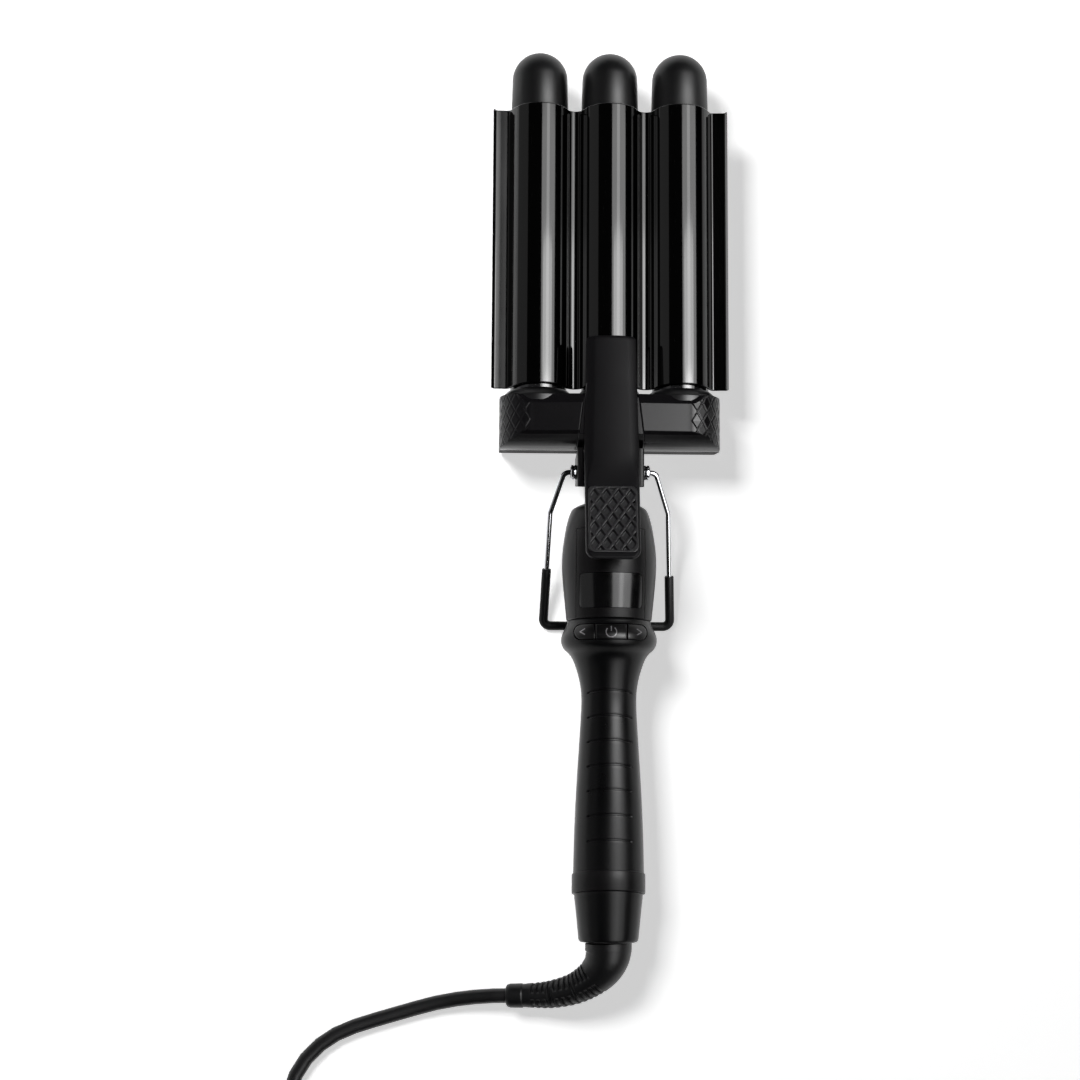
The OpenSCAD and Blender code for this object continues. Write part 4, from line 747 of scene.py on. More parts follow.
# Hinge ferrules: two turned brass rings, grooved round the middle and chromed, that hold the stand's ends
# in. They sit on the hinge tube, outside the neck block's cheeks.
hinge_y, hinge_z = 4.8, 31
ferrule_outline = [
    (2.55, 14.8), (3.05, 14.8), (3.3, 15.0), (3.35, 15.25), (3.35, 15.75), (3.15, 15.9), (2.95, 16.1),
    (3.15, 16.3), (3.35, 16.45), (3.35, 17.0), (3.25, 17.25), (3.0, 17.4), (2.55, 17.4),
]
for i, (side, nodes) in enumerate(((-1, ["hinge_ferrules"]), (1, []))):
    ferrule = lathe(f"hinge_ferrule_{i}", [(r, at * side) for r, at in ferrule_outline], 64, "X")
    place(moved(ferrule, 0, hinge_y, hinge_z), bright_chrome, "root", "chrome", *nodes)


# Stand: one chromed spring-steel wire, bent round the handle with its ends in the hinge tube, and a black
# silicone tube pushed over its foot.
wire_r, sleeve_r, bend_r = 1.2, 2.05, 3.2
stand_elbow, stand_reach = 17.1, 65.8
stand_slope = math.atan((hinge_z - sleeve_r) / stand_reach)
stand_side = [
    (20.4, 0), (26.4, -stand_elbow / math.cos(stand_slope)), (28.8, -stand_reach / math.cos(stand_slope)),
]
sleeve_left, sleeve_right = 27, 24


def on_stand(x, y):
    """A point of the stand's flat path in its own plane through the hinge."""
    return Vector((x, hinge_y + y * math.cos(stand_slope), hinge_z + y * math.sin(stand_slope))) * MM


def bent(points, radius, steps=14):
    """A flat path with true arcs at its corners, and even points along its straight runs."""
    at = [Vector(p) for p in points]
    made = [at[0]]
    for a, b, c in zip(at, at[1:], at[2:]):
        u, v = (a - b).normalized(), (c - b).normalized()
        half = u.angle(v) / 2
        middle = b + (u + v).normalized() * (radius / math.sin(half))
        start = b + u * (radius / math.tan(half)) - middle
        turn = math.pi - 2 * half
        sign = 1 if u.cross(v) < 0 else -1
        run = (middle + start) - made[-1]
        count = max(int(run.length / 3), 1)
        made += [made[-1] + run * (k / count) for k in range(1, count)]
        for k in range(steps + 1):
            c, s = math.cos(sign * turn * k / steps), math.sin(sign * turn * k / steps)
            made.append(middle + Vector((start[0] * c - start[1] * s, start[0] * s + start[1] * c)))
    return made + [at[-1]]


def round_bar(name, path, radius, sides=28, ends=((0, 0.55), (0.25, 0.85), (0.6, 1))):
    """A round bar along a path in metres. ends eases its ends: (mm from the end, share of the radius)."""
    lengths = [0]
    for a, b in zip(path, path[1:]):
        lengths.append(lengths[-1] + (b - a).length)
    total = lengths[-1]

    def at(distance):
        """The path's point so far along it."""
        for i in range(len(path) - 1):
            if distance <= lengths[i + 1]:
                span = max(lengths[i + 1] - lengths[i], 1e-9)
                return path[i].lerp(path[i + 1], (distance - lengths[i]) / span)
        return path[-1]

    stations = [(at(d * MM), s) for d, s in ends]
    stations += [(p, 1) for p, d in zip(path, lengths) if ends[-1][0] * MM < d < total - ends[-1][0] * MM]
    stations += [(at(total - d * MM), s) for d, s in ends[::-1]]
    line = [p for p, s in stations]
    up = Vector((0, -math.sin(stand_slope), math.cos(stand_slope)))
    rings = []
    for (p, side, lift), (q, share) in zip(path_frames(line, up), stations):
        rings.append([p + (side * c + lift * s) * (radius * share * MM) for c, s in circle(sides)])
    return skin(name, rings)


stand_corners = [(-12, 0)] + [(-x, y) for x, y in stand_side] + stand_side[::-1] + [(12, 0)]
stand_path = [on_stand(*p) for p in bent(stand_corners, bend_r)]
place(round_bar("stand_bent_wire", stand_path, wire_r), bright_chrome, "stand", "chrome", "stand_wire")
foot, elbow = Vector(stand_side[2]), Vector(stand_side[1])
left_top, right_top = [foot + (elbow - foot).normalized() * reach for reach in (sleeve_left, sleeve_right)]
sleeve_corners = [(-left_top[0], left_top[1]), (-foot[0], foot[1]), tuple(foot), tuple(right_top)]
sleeve_path = [on_stand(*p) for p in bent(sleeve_corners, bend_r)]
# Silicone tube: soft and dull, and it clings to a faint dust that greys it.
silicone_tube = moulding("silicone_tube", "#0a0a0b", 0.46, 0.9, 0.01, 1.42, shine=0.3)
sleeve = round_bar("stand_silicone_sleeve", sleeve_path, sleeve_r, 32, ((0, 0.66), (0.02, 0.9), (0.3, 1)))
place(sleeve, silicone_tube, "stand", "sleeve_rubber", "stand_sleeve")


# Upper housing: a turned shell of black ABS that holds the display. A flush cover strip closes its front,
# and a smoked clear window sits in the cover.
housing_top, grip_top = -8, -60.6
housing_outline = [(10.2, 0), (14.8, 1.8), (17.4, 4.5), (19.7, 13.7), (21, 28.6), (18.9, 52.6)]
head_seam = 0.35
turned_sides = 192
cover_half, cover_top, cover_seam = 15, -21, 0.22
window_half, window_low, window_high, window_corner = 13.65, -56.1, -41.1, 2


def turned_points(outline, top, steps, inset=0.0):
    """A smooth outline given down from its top, as (radius, place along the axis)."""
    curve = spline([(r, d, 0) for r, d in outline], steps)
    return [(p[0] - inset, top - p[1]) for p in curve]


def housing_form(name, inset=0.0):
    """The bulb as one solid, from which the shell, the cover strip and the window are each cut."""
    curve = turned_points(housing_outline, housing_top, 14, inset)
    ends = [(curve[-1][0], grip_top + head_seam), (curve[-1][0] - head_seam, grip_top + 0.02)]
    outline = [(0, housing_top), (8, housing_top)] + curve[:-1] + ends + [(0, grip_top + 0.02)]
    return moved(lathe(name, outline[::-1], turned_sides), 0, 0, axis_z)


def rounded_box(name, half_x, low_y, high_y, corner, low_z, high_z, steps=8):
    """A block over a rounded rectangle, with so many steps in each corner."""
    corners = [(-half_x, low_y), (half_x, low_y), (half_x, high_y), (-half_x, high_y)]
    return prism(name, round_corners(corners, corner, steps), low_z, high_z)


def stand_way():
    """The shallow way across the handle's back in which the stand's foot lies."""
    low, high, half = -63.95, -58.05, 60
    return prism("stand_way", [(-half, low), (half, low), (half, high), (-half, high)], -5, 4.6)


housing = housing_form("upper_housing_shell")
cut(housing, rounded_box(
    "cover_well", cover_half + cover_seam, grip_top - 2, cover_top + cover_seam, 0.6, 34, 60,
))
cut(housing, stand_way())
place(housing, satin_abs, "root", "body_plastic", "upper_housing")
cover = cut(
    housing_form("display_cover_strip"),
    rounded_box("cover_block", cover_half, grip_top - 2, cover_top, 0.5, 34.6, 60), "INTERSECT",
)
cut(cover, rounded_box(
    "window_well", window_half + cover_seam, window_low - cover_seam, window_high + cover_seam,
    window_corner + cover_seam, 32, 60,
))
place(cover, satin_abs, "root", "body_plastic", "display_cover")
window = cut(
    housing_form("smoked_display_window", 0.12),
    rounded_box("window_block", window_half, window_low, window_high, window_corner, 36, 60), "INTERSECT",
)
# Smoked polycarbonate: polished and nearly black, with the display dark behind it.
smoked_window, window_tree = blank("smoked_polycarbonate")
window_place = add(window_tree, "TexCoord").outputs["Object"]
window_haze = add(window_tree, "TexNoise", {"Vector": window_place, "Scale": 1 / (6 * MM), "Detail": 5})
window_rough = add(window_tree, "MapRange", {
    "Value": window_haze.outputs["Fac"], "To Min": 0.1, "To Max": 0.22,
})
window_shader = add(window_tree, "BsdfPrincipled", {
    "Base Color": linear("#0b0b0c"), "Roughness": window_rough.outputs["Result"], "IOR": 1.58,
})
add(window_tree, "OutputMaterial", {"Surface": window_shader.outputs["BSDF"]})
place(window, smoked_window, "root", "window_plastic", "display_window")

# Boards inside the handle: glass-fibre laminate under green solder mask, and a dark glass display face.
solder_mask = moulding("green_solder_mask", "#1d5a36", 0.35, 0.8, 0.01, 1.5, rubbed="#8fae8f", coat=0.3)
dark_glass = moulding("dark_display_glass", "#202524", 0.15, 3, 0.001, 1.52)
phenolic = moulding("phenolic_moulding", "#6a4a2c", 0.5, 0.5, 0.02, 1.6, rubbed="#8a6a48")
brass = bright_plating("turned_brass", "#d9b46a", 0.22, 0.8)
dress(solder_mask, "control_board", "button_board")
dress(dark_glass, "lcd_module")
dress(phenolic, "brush_block")
dress(brass, "slip_ring")


# Grip: one long ABS shell with a soft-touch coat, turned in at its waist. Seven shallow grooves are cut
# across its front half on a slant, and its head has a pill-shaped opening for the buttons.
grip_outline = [
    (18.3, 0), (18.7, 1.8), (20.2, 4.8), (21.15, 7.4), (21.05, 10.2), (19.9, 12.6), (17.9, 14.4), (16.2, 16.8),
    (14.7, 20.6), (13.4, 25), (12.5, 29.6), (12.15, 34), (12.2, 39), (12.5, 45), (13.2, 56.3), (14.3, 74.6),
    (15.1, 92.8), (15.5, 110), (15.5, 125),
]
grip_end = -177
groove_first, groove_pitch, groove_count = -95.1, 10.9, 7
groove_half_w, groove_depth, groove_half_x = 0.5, 0.55, 10
groove_slant, band_slant = math.tan(math.radians(16)), math.tan(math.radians(8))
slant_line = [(grip_end, band_slant), (-170, band_slant), (-160, groove_slant), (-92, groove_slant), (-80, 0)]
slot_y, slot_half_x, slot_half_y = -66.7, 16.2, 3.7
grip_curve = sorted((y, r) for r, y in turned_points(grip_outline, grip_top, 24))


def grip_radius(y):
    """Radius of the grip at y, in mm."""
    return lookup(y, grip_curve)


def slanted_ring(y, slant, radius, sides=turned_sides, depth=0.0):
    """A ring of a turned piece in a slanted plane; depth is cut in over the middle of its front half."""
    ring = []
    for c, s in circle(sides):
        at, r = y, radius(y)
        for _ in range(3):
            at = y + slant * r * s
            r = radius(at)
        x = abs(r * c)
        r -= depth * smooth((groove_half_x - x) / 0.7) if s > 0 else 0
        ring.append(Vector((r * c, at, axis_z + r * s)) * MM)
    return ring


grip_rows = [(grip_top - head_seam, 0, 0)]
grip_step = 1.1
grooves = [groove_first - i * groove_pitch for i in range(groove_count)]
for k in range(int((grip_top - 1 - grip_end) / grip_step) + 1):
    row_y = grip_top - 1 - grip_step * k
    if min(abs(row_y - g) for g in grooves) > groove_half_w + 0.45:
        grip_rows.append((row_y, lookup(row_y, slant_line), 0))
for g in grooves:
    for offset, depth in (
        (0.62, 0), (groove_half_w, 0.02), (groove_half_w - 0.08, groove_depth * 0.45), (0.28, groove_depth),
        (-0.28, groove_depth), (0.08 - groove_half_w, groove_depth * 0.45), (-groove_half_w, 0.02), (-0.62, 0),
    ):
        grip_rows.append((g + offset, groove_slant, depth))
grip_rows.sort(reverse=True)
first_r = grip_radius(grip_top) - head_seam
grip_rings = [
    slanted_ring(grip_top - 0.02, 0, lambda at: 0.01), slanted_ring(grip_top - 0.02, 0, lambda at: first_r),
]
grip_rings += [slanted_ring(y, slant, grip_radius, depth=depth) for y, slant, depth in grip_rows]
grip_rings.append(slanted_ring(grip_end, band_slant, grip_radius))
grip = skin("grip_shell", grip_rings)
slot = rounded_box(
    "slot", slot_half_x, slot_y - slot_half_y, slot_y + slot_half_y, slot_half_y - 0.01, 33, 60, 16,
)
cut(grip, slot, angle=50)
cut(grip, stand_way(), angle=50)
# Soft-touch polyurethane coat over ABS: silkier than the bare moulding, with almost no grain.
soft_touch = moulding("soft_touch_coating", "#080809", 0.3, 0.35, 0.003, 1.48, shine=0.23)
place(grip, soft_touch, "root", "grip_plastic", "grip")


# Buttons: three ABS keys that fill the slot, flush with the head. Their symbols are pad-printed in pale ink:
# an arrow for cooler, the power sign and an arrow for hotter.
button_gap, power_half, key_depth, key_edge = 0.3, 6.8, 4.2, 0.35
key_half_y = slot_half_y - button_gap
key_rim_steps = [0, 0.012, 0.03]
key_spread = key_rim_steps + [0.03 + 0.94 * k / 20 for k in range(1, 20)] + [1 - s for s in key_rim_steps[::-1]]


def head_height(x, y):
    """Height of the head's surface over a point of the slot, in mm."""
    return axis_z + math.sqrt(max(grip_radius(y) ** 2 - x * x, 0))


def slab(name, top, down, angle):
    """A closed solid under rows of points: its sides and underside come from their rim, moved by down."""
    width, rows = len(top[0]), len(top)
    points = [p for row in top for p in row]
    faces = [
        (r * width + c, r * width + c + 1, (r + 1) * width + c + 1, (r + 1) * width + c)
        for r in range(rows - 1) for c in range(width - 1)
    ]
    rim = list(range(width)) + [r * width + width - 1 for r in range(1, rows)]
    rim += [(rows - 1) * width + c for c in range(width - 2, -1, -1)]
    rim += [r * width for r in range(rows - 2, 0, -1)]
    base, count = len(points), len(rim)
    faces += [(rim[i], rim[(i + 1) % count], base + (i + 1) % count, base + i) for i in range(count)]
    faces.append(tuple(range(base, base + count)))
    return solid(name, points + [points[i] + down for i in rim], faces, angle)


def key(name, x_in, side):
    """One button. side is 0 for the middle one, and otherwise the side on which its round end lies."""
    top = []
    for v in key_spread:
        row = []
        y = (2 * v - 1) * key_half_y
        end = math.sqrt(max(key_half_y ** 2 - y * y, 0)) + slot_half_x - button_gap - key_half_y
        for u in key_spread:
            x = (2 * u - 1) * power_half if side == 0 else side * (x_in + (end - x_in) * u)
            edge = min(v, 1 - v) * 2 * key_half_y
            span = 2 * power_half if side == 0 else end - x_in
            edge = min(edge, min(u, 1 - u) * span)
            fall = key_edge * (1 - math.sqrt(1 - (1 - min(edge / key_edge, 1)) ** 2))
            row.append(Vector((x, slot_y + y, head_height(x, slot_y + y) - fall)) * MM)
        top.append(row)
    return slab(name, top, Vector((0, 0, -key_depth * MM)), 50)


def printed(name, strokes, width=0.45, above=0.04, below=-0.06):
    """Pad-printed lines on the buttons: a thin raised ribbon along each line of points, in mm."""
    points, faces = [], []
    for stroke in strokes:
        start = len(points)
        line = [Vector(p) for p in stroke]
        for i, p in enumerate(line):
            ahead = (line[min(i + 1, len(line) - 1)] - line[max(i - 1, 0)]).normalized()
            across = Vector((-ahead.y, ahead.x)) * (width / 2)
            for q, lift in ((p + across, above), (p - across, above), (p - across, below), (p + across, below)):
                points.append(Vector((q.x, slot_y + q.y, head_height(q.x, slot_y + q.y) + lift)) * MM)
        for i in range(len(line) - 1):
            a, b = start + i * 4, start + i * 4 + 4
            faces += [(a + k, a + (k + 1) % 4, b + (k + 1) % 4, b + k) for k in range(4)]
        faces += [(start, start + 1, start + 2, start + 3), tuple(len(points) - 1 - k for k in range(4))]
    return solid(name, points, faces, 30)


def dashed(points, steps=8):
    """More points along straight lines, so that print follows the curved key."""
    made = []
    for a, b in zip(points, points[1:]):
        made += [Vector(a).lerp(Vector(b), k / steps) for k in range(steps)]
    return made + [Vector(points[-1])]


key_abs = moulding("satin_abs_key", "#0b0a0b", 0.3, 0.3, 0.004, 1.54, shine=0.28)
ink = moulding("pad_printed_ink", "#7d7b7e", 0.25, 0.3, 0.004, 1.5, rubbed="#8d8b8e")
arrow_x, arrow_half, arrow_reach = 12.4, 1.35, 2.2
power_r, power_drop = 2.3, 0.25
power_sign = [
    [(power_r * math.sin(math.radians(a)), power_r * math.cos(math.radians(a)) - power_drop)
     for a in range(38, 323, 12)],
    dashed([(0, 2.35), (0, 0.1)], 6),
]
for body, side in (("power", 0), ("cooler", -1), ("hotter", 1)):
    button = key(f"button_key_{body}", power_half + button_gap + 0.1, side)
    place(button, key_abs, body, "button_plastic", f"button_{body}")
    back, tip = side * (arrow_x - arrow_reach / 2), side * (arrow_x + arrow_reach / 2)
    arrow = [dashed([(back, arrow_half), (tip, 0), (back, -arrow_half)])]
    place(printed(f"button_print_{body}", arrow if side else power_sign), ink, body, "button_plastic")


# Band and end cap: a raised ABS ring clipped round the grip's end, and the cap behind it that holds the
# swivel. Both meet on a slant, a little further up at the front.
band_top, band_low, band_r = -171.3, -180, 16.1
cap_rows = [
    (-180.06, 8, 14.6), (-180.06, 8, 14.85), (-180.2, 8, 15), (-182, 7, 14.9), (-186, 5, 14.42),
    (-192, 2.5, 13.83), (-198, 0.5, 13.24), (-199.2, 0, 13.1), (-199.9, 0, 12.85), (-200.35, 0, 12.35),
    (-200.5, 0, 11.8), (-200.5, 0, 8.2), (-200.3, 0, 7.85), (-196, 0, 7.8),
]


def slanted_piece(name, rows):
    """A turned piece from rows of place along the axis, tilt in degrees and radius."""
    return skin(name, [slanted_ring(y, math.tan(math.radians(tilt)), lambda at, r=r: r) for y, tilt, r in rows])


band_edge = 0.45
band_rows = [
    (band_top, 8, 15.2), (band_top, 8, band_r - band_edge), (band_top - 0.12, 8, band_r - 0.14),
    (band_top - band_edge, 8, band_r), (band_low + band_edge, 8, band_r), (band_low + 0.12, 8, band_r - 0.14),
    (band_low, 8, band_r - band_edge), (band_low, 8, 14.6),
]
place(slanted_piece("raised_band", band_rows), satin_abs, "root", "body_plastic", "band_ring")
place(slanted_piece("handle_end_cap", cap_rows), soft_touch, "root", "grip_plastic", "end_cap")
# Acetal swivel: a slippery moulding, a little glossier than the ABS round it.
acetal = moulding("acetal_moulding", "#161617", 0.3, 0.5, 0.003, 1.48)
dress(acetal, "swivel_spindle")


# Clamp plate: one aluminium sheet, 1 mm thick, pressed into three ridges over the barrels and two valleys
# between them, with its side flanges turned up into a narrow lip. It is coated glossy black.
plate_low, plate_high, plate_half_t = 43, 172, 0.5
ridge_r, valley_r, valley_rise, valley_floor = 14.2, 3.93, 8.53, 4.6
wave_angle = 61.9
flange_edge, lip_r, lip_rise = 53.2, 1.2, 1.7
plate_edge_r = 0.32
ridge_trim, ridge_reach = 1.3, 1.0
flange_bend, bend_x, flange_rise = 1.6, 46.6, 0.34


def arc_points(cx, cz, r, start, end, count):
    """Points along an arc, from one angle in degrees to another."""
    angles = [math.radians(start + (end - start) * k / count) for k in range(count + 1)]
    return [(cx + r * math.cos(a), cz + r * math.sin(a)) for a in angles]


def sheet_line(shift):
    """The sheet's section from left to right, moved off its middle by shift towards the front."""
    outer = barrel_pitch * 1.5
    floor = valley_floor + shift
    lip_x = flange_edge - plate_half_t
    left = [(-lip_x - shift, valley_floor + flange_rise + lip_rise)]
    left += arc_points(-lip_x + lip_r, valley_floor + flange_rise + lip_r, lip_r - shift, 180, 266, 8)
    left += [(-outer - 3, floor + 0.29), (-outer - 1.5, floor + 0.19)]
    left += [(-bend_x - 1.1, floor + 0.07), (-bend_x - 0.5, floor + 0.03), (-bend_x - 0.12, floor + 0.005)]
    middle = arc_points(-bend_x, valley_floor + flange_bend, flange_bend - shift, 270, 270 + wave_angle, 14)
    for i in barrel_places:
        middle += arc_points(i * barrel_pitch, 0, ridge_r + shift, 90 + wave_angle, 90 - wave_angle, 56)
        if i < 1:
            middle += arc_points(
                (i + 0.5) * barrel_pitch, valley_rise, valley_r - shift, 270 - wave_angle, 270 + wave_angle, 28,
            )
    middle += arc_points(bend_x, valley_floor + flange_bend, flange_bend - shift, 270 - wave_angle, 270, 14)
    return [(x, z + axis_z) for x, z in left + middle + [(-x, z) for x, z in left[::-1]]]


def plate_trim(y, z):
    """How far a ridge's ends are moved along the barrels, against its valleys."""
    low, high = max(0, 1 - (y - plate_low) / 10), max(0, 1 - (plate_high - y) / 10)
    return smooth((z - 29) / 8.7) * (ridge_trim * low + ridge_reach * high)


plate_rings = []
edge_steps = [(0, plate_edge_r), (0.08, 0.14), (plate_edge_r, 0)]
for at, set_in in (
    [(plate_low + d, s) for d, s in edge_steps] + [(plate_low + d, 0) for d in (0.45, 0.8, 2)]
    + [(plate_low + (plate_high - plate_low) * k / 24, 0) for k in range(1, 24)]
    + [(plate_high - d, 0) for d in (2, 0.8, 0.45)] + [(plate_high - d, s) for d, s in edge_steps[::-1]]
):
    t = plate_half_t - set_in
    front, back = sheet_line(t), sheet_line(-t)
    plate_rings.append([Vector((x, at + plate_trim(at, z), z)) * MM for x, z in front + back[::-1]])
width = len(plate_rings[0])
plate_points = [p for ring in plate_rings for p in ring]
plate_faces = [
    (r * width + k, r * width + (k + 1) % width, (r + 1) * width + (k + 1) % width, (r + 1) * width + k)
    for r in range(len(plate_rings) - 1) for k in range(width)
]
for r in (0, len(plate_rings) - 1):
    a = r * width
    plate_faces += [(a + k, a + k + 1, a + width - 2 - k, a + width - 1 - k) for k in range(width // 2 - 1)]
plate = solid("corrugated_clamp_plate", plate_points, plate_faces, 50)
# Sprayed, baked and polished ceramic lacquer: a deep black mirror with the least orange peel, about 4 mm
# across.
gloss_lacquer = moulding("baked_gloss_lacquer", "#030303", 0.08, 4, 0.0012, 1.55, rubbed="#101010")
place(plate, gloss_lacquer, "clamp", "plate_coating", "clamp_plate")


# Lever: a nylon arm riveted to the plate's middle ridge. It is crowned over the plate and rises to a flat
# thumb rest behind the hinge, where two ears under it turn on the hinge tube.
lever_top_line = [
    (-37, 61.98), (-28, 58.88), (-19.5, 55.95), (-11, 53.03), (-2.2, 50.05), (3.8, 48.45), (9.8, 47.35),
    (21, 45.75), (35, 44.1), (50, 42.6), (65, 41.4),
]
lever_under = [(-37, 57.48), (-7.2, 46.5), (10, 41.1), (42.9, 41.1)]
lever_width = [(-37, 11.8), (15, 12), (39, 11.4), (65, 11)]
lever_rear, lever_tip, skirt_from = -37, 65, 43
rear_corner, tip_corner, lever_edge, crown = 4, 2.2, 1.6, 0.45
shoulder_w, shoulder_fall = 4.2, 2.1
rest_edge, rest_z, lever_seat_r = -2.2, 50, 14.76
lever_curve = sorted((p[0], p[1]) for p in spline([(y, z, 0) for y, z in lever_top_line], 8))


def ball_end(d, r):
    """How far a rounded end pulls in, at a distance d from the end."""
    return 0 if d >= r else r - math.sqrt(max(r * r - (r - d) ** 2, 0))


def lever_ring(y):
    """Section of the lever at y: over its rounded top from the left, and back along its underside."""
    half = lookup(y, lever_width) - ball_end(y - lever_rear, rear_corner) - ball_end(lever_tip - y, tip_corner)
    high = lookup(y, lever_curve) - ball_end(lever_tip - y, 1.4) * 0.75 - ball_end(y - lever_rear, 0.7) * 0.7
    dome = crown * smooth((y - rest_edge + 1) / 12)
    shape = smooth((y - rest_edge) / 14)
    edge = lever_edge + (shoulder_w - lever_edge) * shape
    depth = lever_edge + (shoulder_fall - lever_edge) * shape
    power = 1 + 0.5 * shape
    ring = []
    for k in range(9):
        a = math.radians(90 * k / 8)
        ring.append((
            -half + edge * (1 - abs(math.cos(a)) ** power), high - dome - depth * (1 - math.sin(a) ** power),
        ))
    for k in range(1, 16):
        t = 2 * k / 16 - 1
        ring.append(((half - edge) * t, high - dome * t * t))
    ring += [(-x, z) for x, z in ring[8::-1]]
    low = []
    for k in range(21):
        x = half * (1 - k / 10)
        if y >= skirt_from:
            low.append((x, axis_z + math.sqrt(lever_seat_r ** 2 - x * x)))
        else:
            low.append((x, lookup(y, lever_under) + (0.5 if abs(x) > half * 0.95 else 0)))
    return [Vector((x, y, z)) * MM for x, z in ring + low]


lever_rows = [lever_rear + d for d in (0.01, 0.08, 0.25, 0.5, 0.9, 1.5, 2.3, 3.2, 4)]
lever_rows += [lever_rear + 4 + 1.2 * k for k in range(1, 32)]
lever_rows += [2 + 1.4 * k for k in range(29)] + [42.5, 42.94, 43.0]
lever_rows += [44 + 1.5 * k for k in range(13)] + [lever_tip - d for d in (1.8, 1.4, 1, 0.6, 0.3, 0.12, 0.02)]
lever_rows = sorted(set(lever_rows))
lever = skin("thumb_lever", [lever_ring(y) for y in lever_rows])
# Glass-filled nylon, etched with a coarser grain than the ABS beside it, so that it stays duller and darker.
etched_nylon = moulding("etched_nylon_moulding", "#0a090b", 0.47, 0.4, 0.008, 1.53, shine=0.11)
place(lever, etched_nylon, "clamp", "body_plastic", "lever_arm")
ear_outline = arc_points(hinge_y, hinge_z, 4.4, 180, 360, 24) + [(hinge_y + 5.9, 44.5), (hinge_y - 5.9, 48)]
for i, x in enumerate((8.5, -11.7)):
    ear = softened(prism(f"lever_hinge_ear_{i}", ear_outline, x, x + 3.2, "X"), 0.3)
    place(ear, etched_nylon, "clamp", "body_plastic")


# Thumb pad: a plate of soft rubber pressed into the rest, moulded with a raised rim and a lattice of ribs
# round sunk diamonds, for grip.
pad_half_w, pad_half_l, pad_corner = 10.7, 16.0, 2.6
pad_slope, pad_centre = math.radians(-19), -18.1
diamond_w, diamond_l = 5.3, 7.8
rib_half, rib_fall, rim_w = 0.48, 0.3, 0.95
pad_high, pad_sunk, pad_base = 0.4, -1.05, -1.6
pad_step, pad_gap = 0.2, 0.12


def pad_rim_distance(x, y):
    """Distance in from the pad's rounded outline, in mm."""
    cx, cy = abs(x) - (pad_half_w - pad_corner), abs(y) - (pad_half_l - pad_corner)
    if cx > 0 and cy > 0:
        return pad_corner - math.hypot(cx, cy)
    return min(pad_half_w - abs(x), pad_half_l - abs(y))


def pad_height(x, y):
    """Height of the pad's surface: the ribs and the rim stand up from the diamonds' floors."""
    inside = pad_rim_distance(x, y)
    p, q = x / diamond_w + y / diamond_l, x / diamond_w - y / diamond_l
    slope = math.hypot(1 / diamond_w, 1 / diamond_l)
    rib = min(abs(p - round(p - 0.5) - 0.5), abs(q - round(q - 0.5) - 0.5)) / slope
    raised = max(1 - smooth((rib - rib_half) / rib_fall), 1 - smooth((inside - rim_w) / rib_fall))
    edge = 0.3 * (1 - math.sqrt(1 - (1 - min(max(inside, 0) / 0.3, 1)) ** 2))
    return pad_sunk + (pad_high - pad_sunk) * raised - edge


def on_rest(x, y, z):
    """A point of the pad, from its own flat frame to the sloping thumb rest."""
    along = pad_centre + y
    return Vector((
        x, rest_edge + along * math.cos(pad_slope) - z * math.sin(pad_slope),
        rest_z + along * math.sin(pad_slope) + z * math.cos(pad_slope),
    )) * MM


columns, rows = int(2 * pad_half_w / pad_step), int(2 * pad_half_l / pad_step)
pad_top = []
for r in range(rows + 1):
    pad_y = (2 * r / rows - 1) * pad_half_l
    over = max(abs(pad_y) - (pad_half_l - pad_corner), 0)
    reach = pad_half_w - pad_corner + math.sqrt(max(pad_corner ** 2 - over ** 2, 0))
    across = [(2 * c / columns - 1) * reach for c in range(columns + 1)]
    pad_top.append([on_rest(x, pad_y, pad_height(x, pad_y)) for x in across])
pad = slab("thumb_pad_lattice", pad_top, on_rest(0, 0, pad_base) - on_rest(0, 0, 0), 60)
pocket = rounded_box(
    "pocket", pad_half_w + pad_gap, -pad_half_l - pad_gap, pad_half_l + pad_gap, pad_corner + 0.1,
    pad_base - 0.1, 4, 6,
)
for vertex in pocket.data.vertices:
    vertex.co = on_rest(*(vertex.co / MM))
cut(lever, pocket)
# Soft thermoplastic rubber: dull and slightly velvety, so its ribs show by shade and not by glints.
soft_rubber = moulding("soft_tpe_rubber", "#131214", 0.42, 0.4, 0.01, 1.5)
place(pad, soft_rubber, "clamp", "pad_rubber", "thumb_pad")


# Table and light: a white sweep under soft lamps. A long strip lamp on the right draws the lines of light
# along the ridges, a dim broad one fills the left, and a large soft one from the upper left throws the
# shadow.
half_table, table_white, table_glow = 3.0, "#f4f4f4", 0.6
table_mesh = bpy.data.meshes.new("table")
table_mesh.from_pydata(
    [(x * half_table, y * half_table, 0) for x, y in ((-1, -1), (1, -1), (1, 1), (-1, 1))], [], [(0, 1, 2, 3)],
)
table = bpy.data.objects.new("table", table_mesh)
link(table)
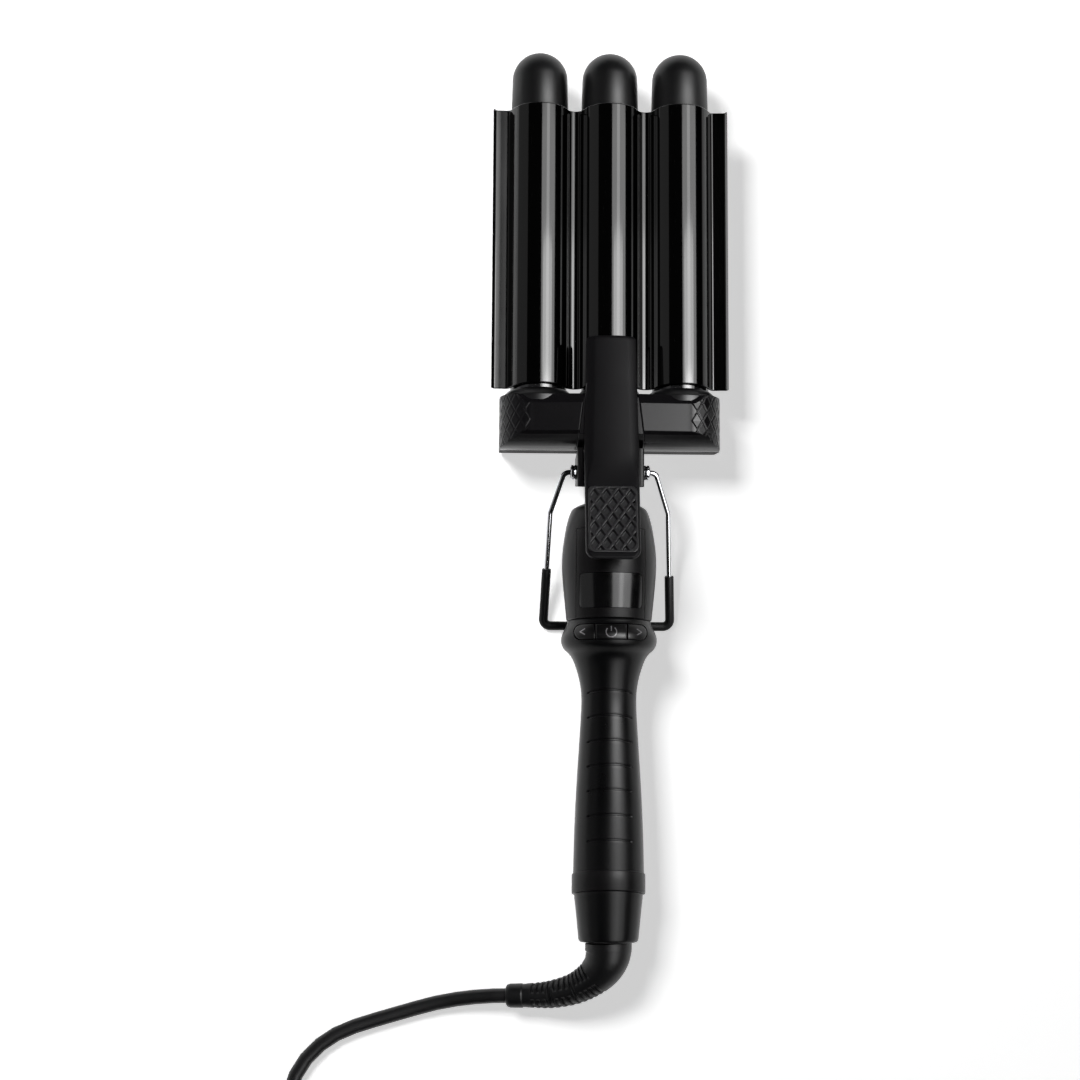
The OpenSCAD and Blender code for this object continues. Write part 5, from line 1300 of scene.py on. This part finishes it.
# White laminate: it shows as white to the eye and in reflections, and still takes the shadow.
laminate, table_tree = blank("white_laminate")
path = add(table_tree, "LightPath").outputs
seen = add(table_tree, "Math", {0: path["Is Camera Ray"], 1: path["Is Glossy Ray"]}, operation="MAXIMUM")
seen = add(table_tree, "Math", {0: seen.outputs[0], 1: path["Is Transmission Ray"]}, operation="MAXIMUM")
glow = add(table_tree, "Math", {0: seen.outputs[0], 1: table_glow}, operation="MULTIPLY")
table_shader = add(table_tree, "BsdfPrincipled", {
    "Base Color": linear(table_white), "Roughness": 0.9, "Specular IOR Level": 0.0,
    "Emission Color": (1, 1, 1, 1), "Emission Strength": glow.outputs[0],
})
add(table_tree, "OutputMaterial", {"Surface": table_shader.outputs["BSDF"]})
table_mesh.materials.append(laminate)
table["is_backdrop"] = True


def lamp(name, radiance, width, length, distance, tilt, along, glossy=True, diffuse=True):
    """A rectangular lamp of this radiance, tilt degrees from overhead towards +X and so far along the waver."""
    light = bpy.data.lights.new(name, "AREA")
    light.shape = "RECTANGLE"
    light.size, light.size_y = width, length
    light.energy = radiance * math.pi * width * length
    lean = math.radians(tilt)
    way = Vector((math.sin(lean), 0, math.cos(lean)))
    held = bpy.data.objects.new(name, light)
    held.location = Vector((0, along, 0.02)) + way * distance
    held.rotation_euler = facing(way).to_euler()
    held.visible_glossy = glossy
    held.visible_diffuse = diffuse
    held.visible_camera = False
    link(held)


lamp("strip_lamp", 2.5, 1.12, 1.75, 1.25, 30, -0.17, diffuse=False)
lamp("strip_core", 2.3, 0.22, 1.75, 1.22, 28, -0.15, diffuse=False)
lamp("strip_upper", 1.0, 1.1, 0.5, 1.2, 30.5, 0.36, diffuse=False)
lamp("strip_bright", 4.5, 0.7, 0.46, 1.18, 28, 0.22, diffuse=False)
lamp("strip_hottest", 8.0, 0.5, 0.24, 1.16, 28, 0.17, diffuse=False)
lamp("left_panel", 0.28, 1.1, 1.9, 1.3, -66, 0, diffuse=False)
lamp("shadow_lamp", 27.0, 0.6, 0.6, 1.9, -26, 0.74, glossy=False)

# Room: its walls are pale up to a little above the table, and its ceiling is dark, so that dark surfaces
# stay dark.
world = bpy.data.worlds.new("studio")
bpy.context.scene.world = world
world.use_nodes = True
sky = world.node_tree
sky.nodes.clear()
way = add(sky, "SeparateXYZ", {"Vector": add(sky, "TexCoord").outputs["Generated"]})
height = add(sky, "MapRange", {
    "Value": way.outputs["Z"], "From Min": 0.05, "From Max": 0.17,
}, interpolation_type="SMOOTHSTEP")
walls = add(sky, "Mix", {
    "A": linear("#f2f2f2"), "B": linear("#101011"), "Factor": height.outputs["Result"],
}, data_type="RGBA")
room = add(sky, "Background", {"Color": walls.outputs["Result"], "Strength": 1.0})
add(sky, "OutputWorld", {"Surface": room.outputs["Background"]})
bpy.context.scene.view_settings.view_transform = "Standard"

low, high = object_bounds()
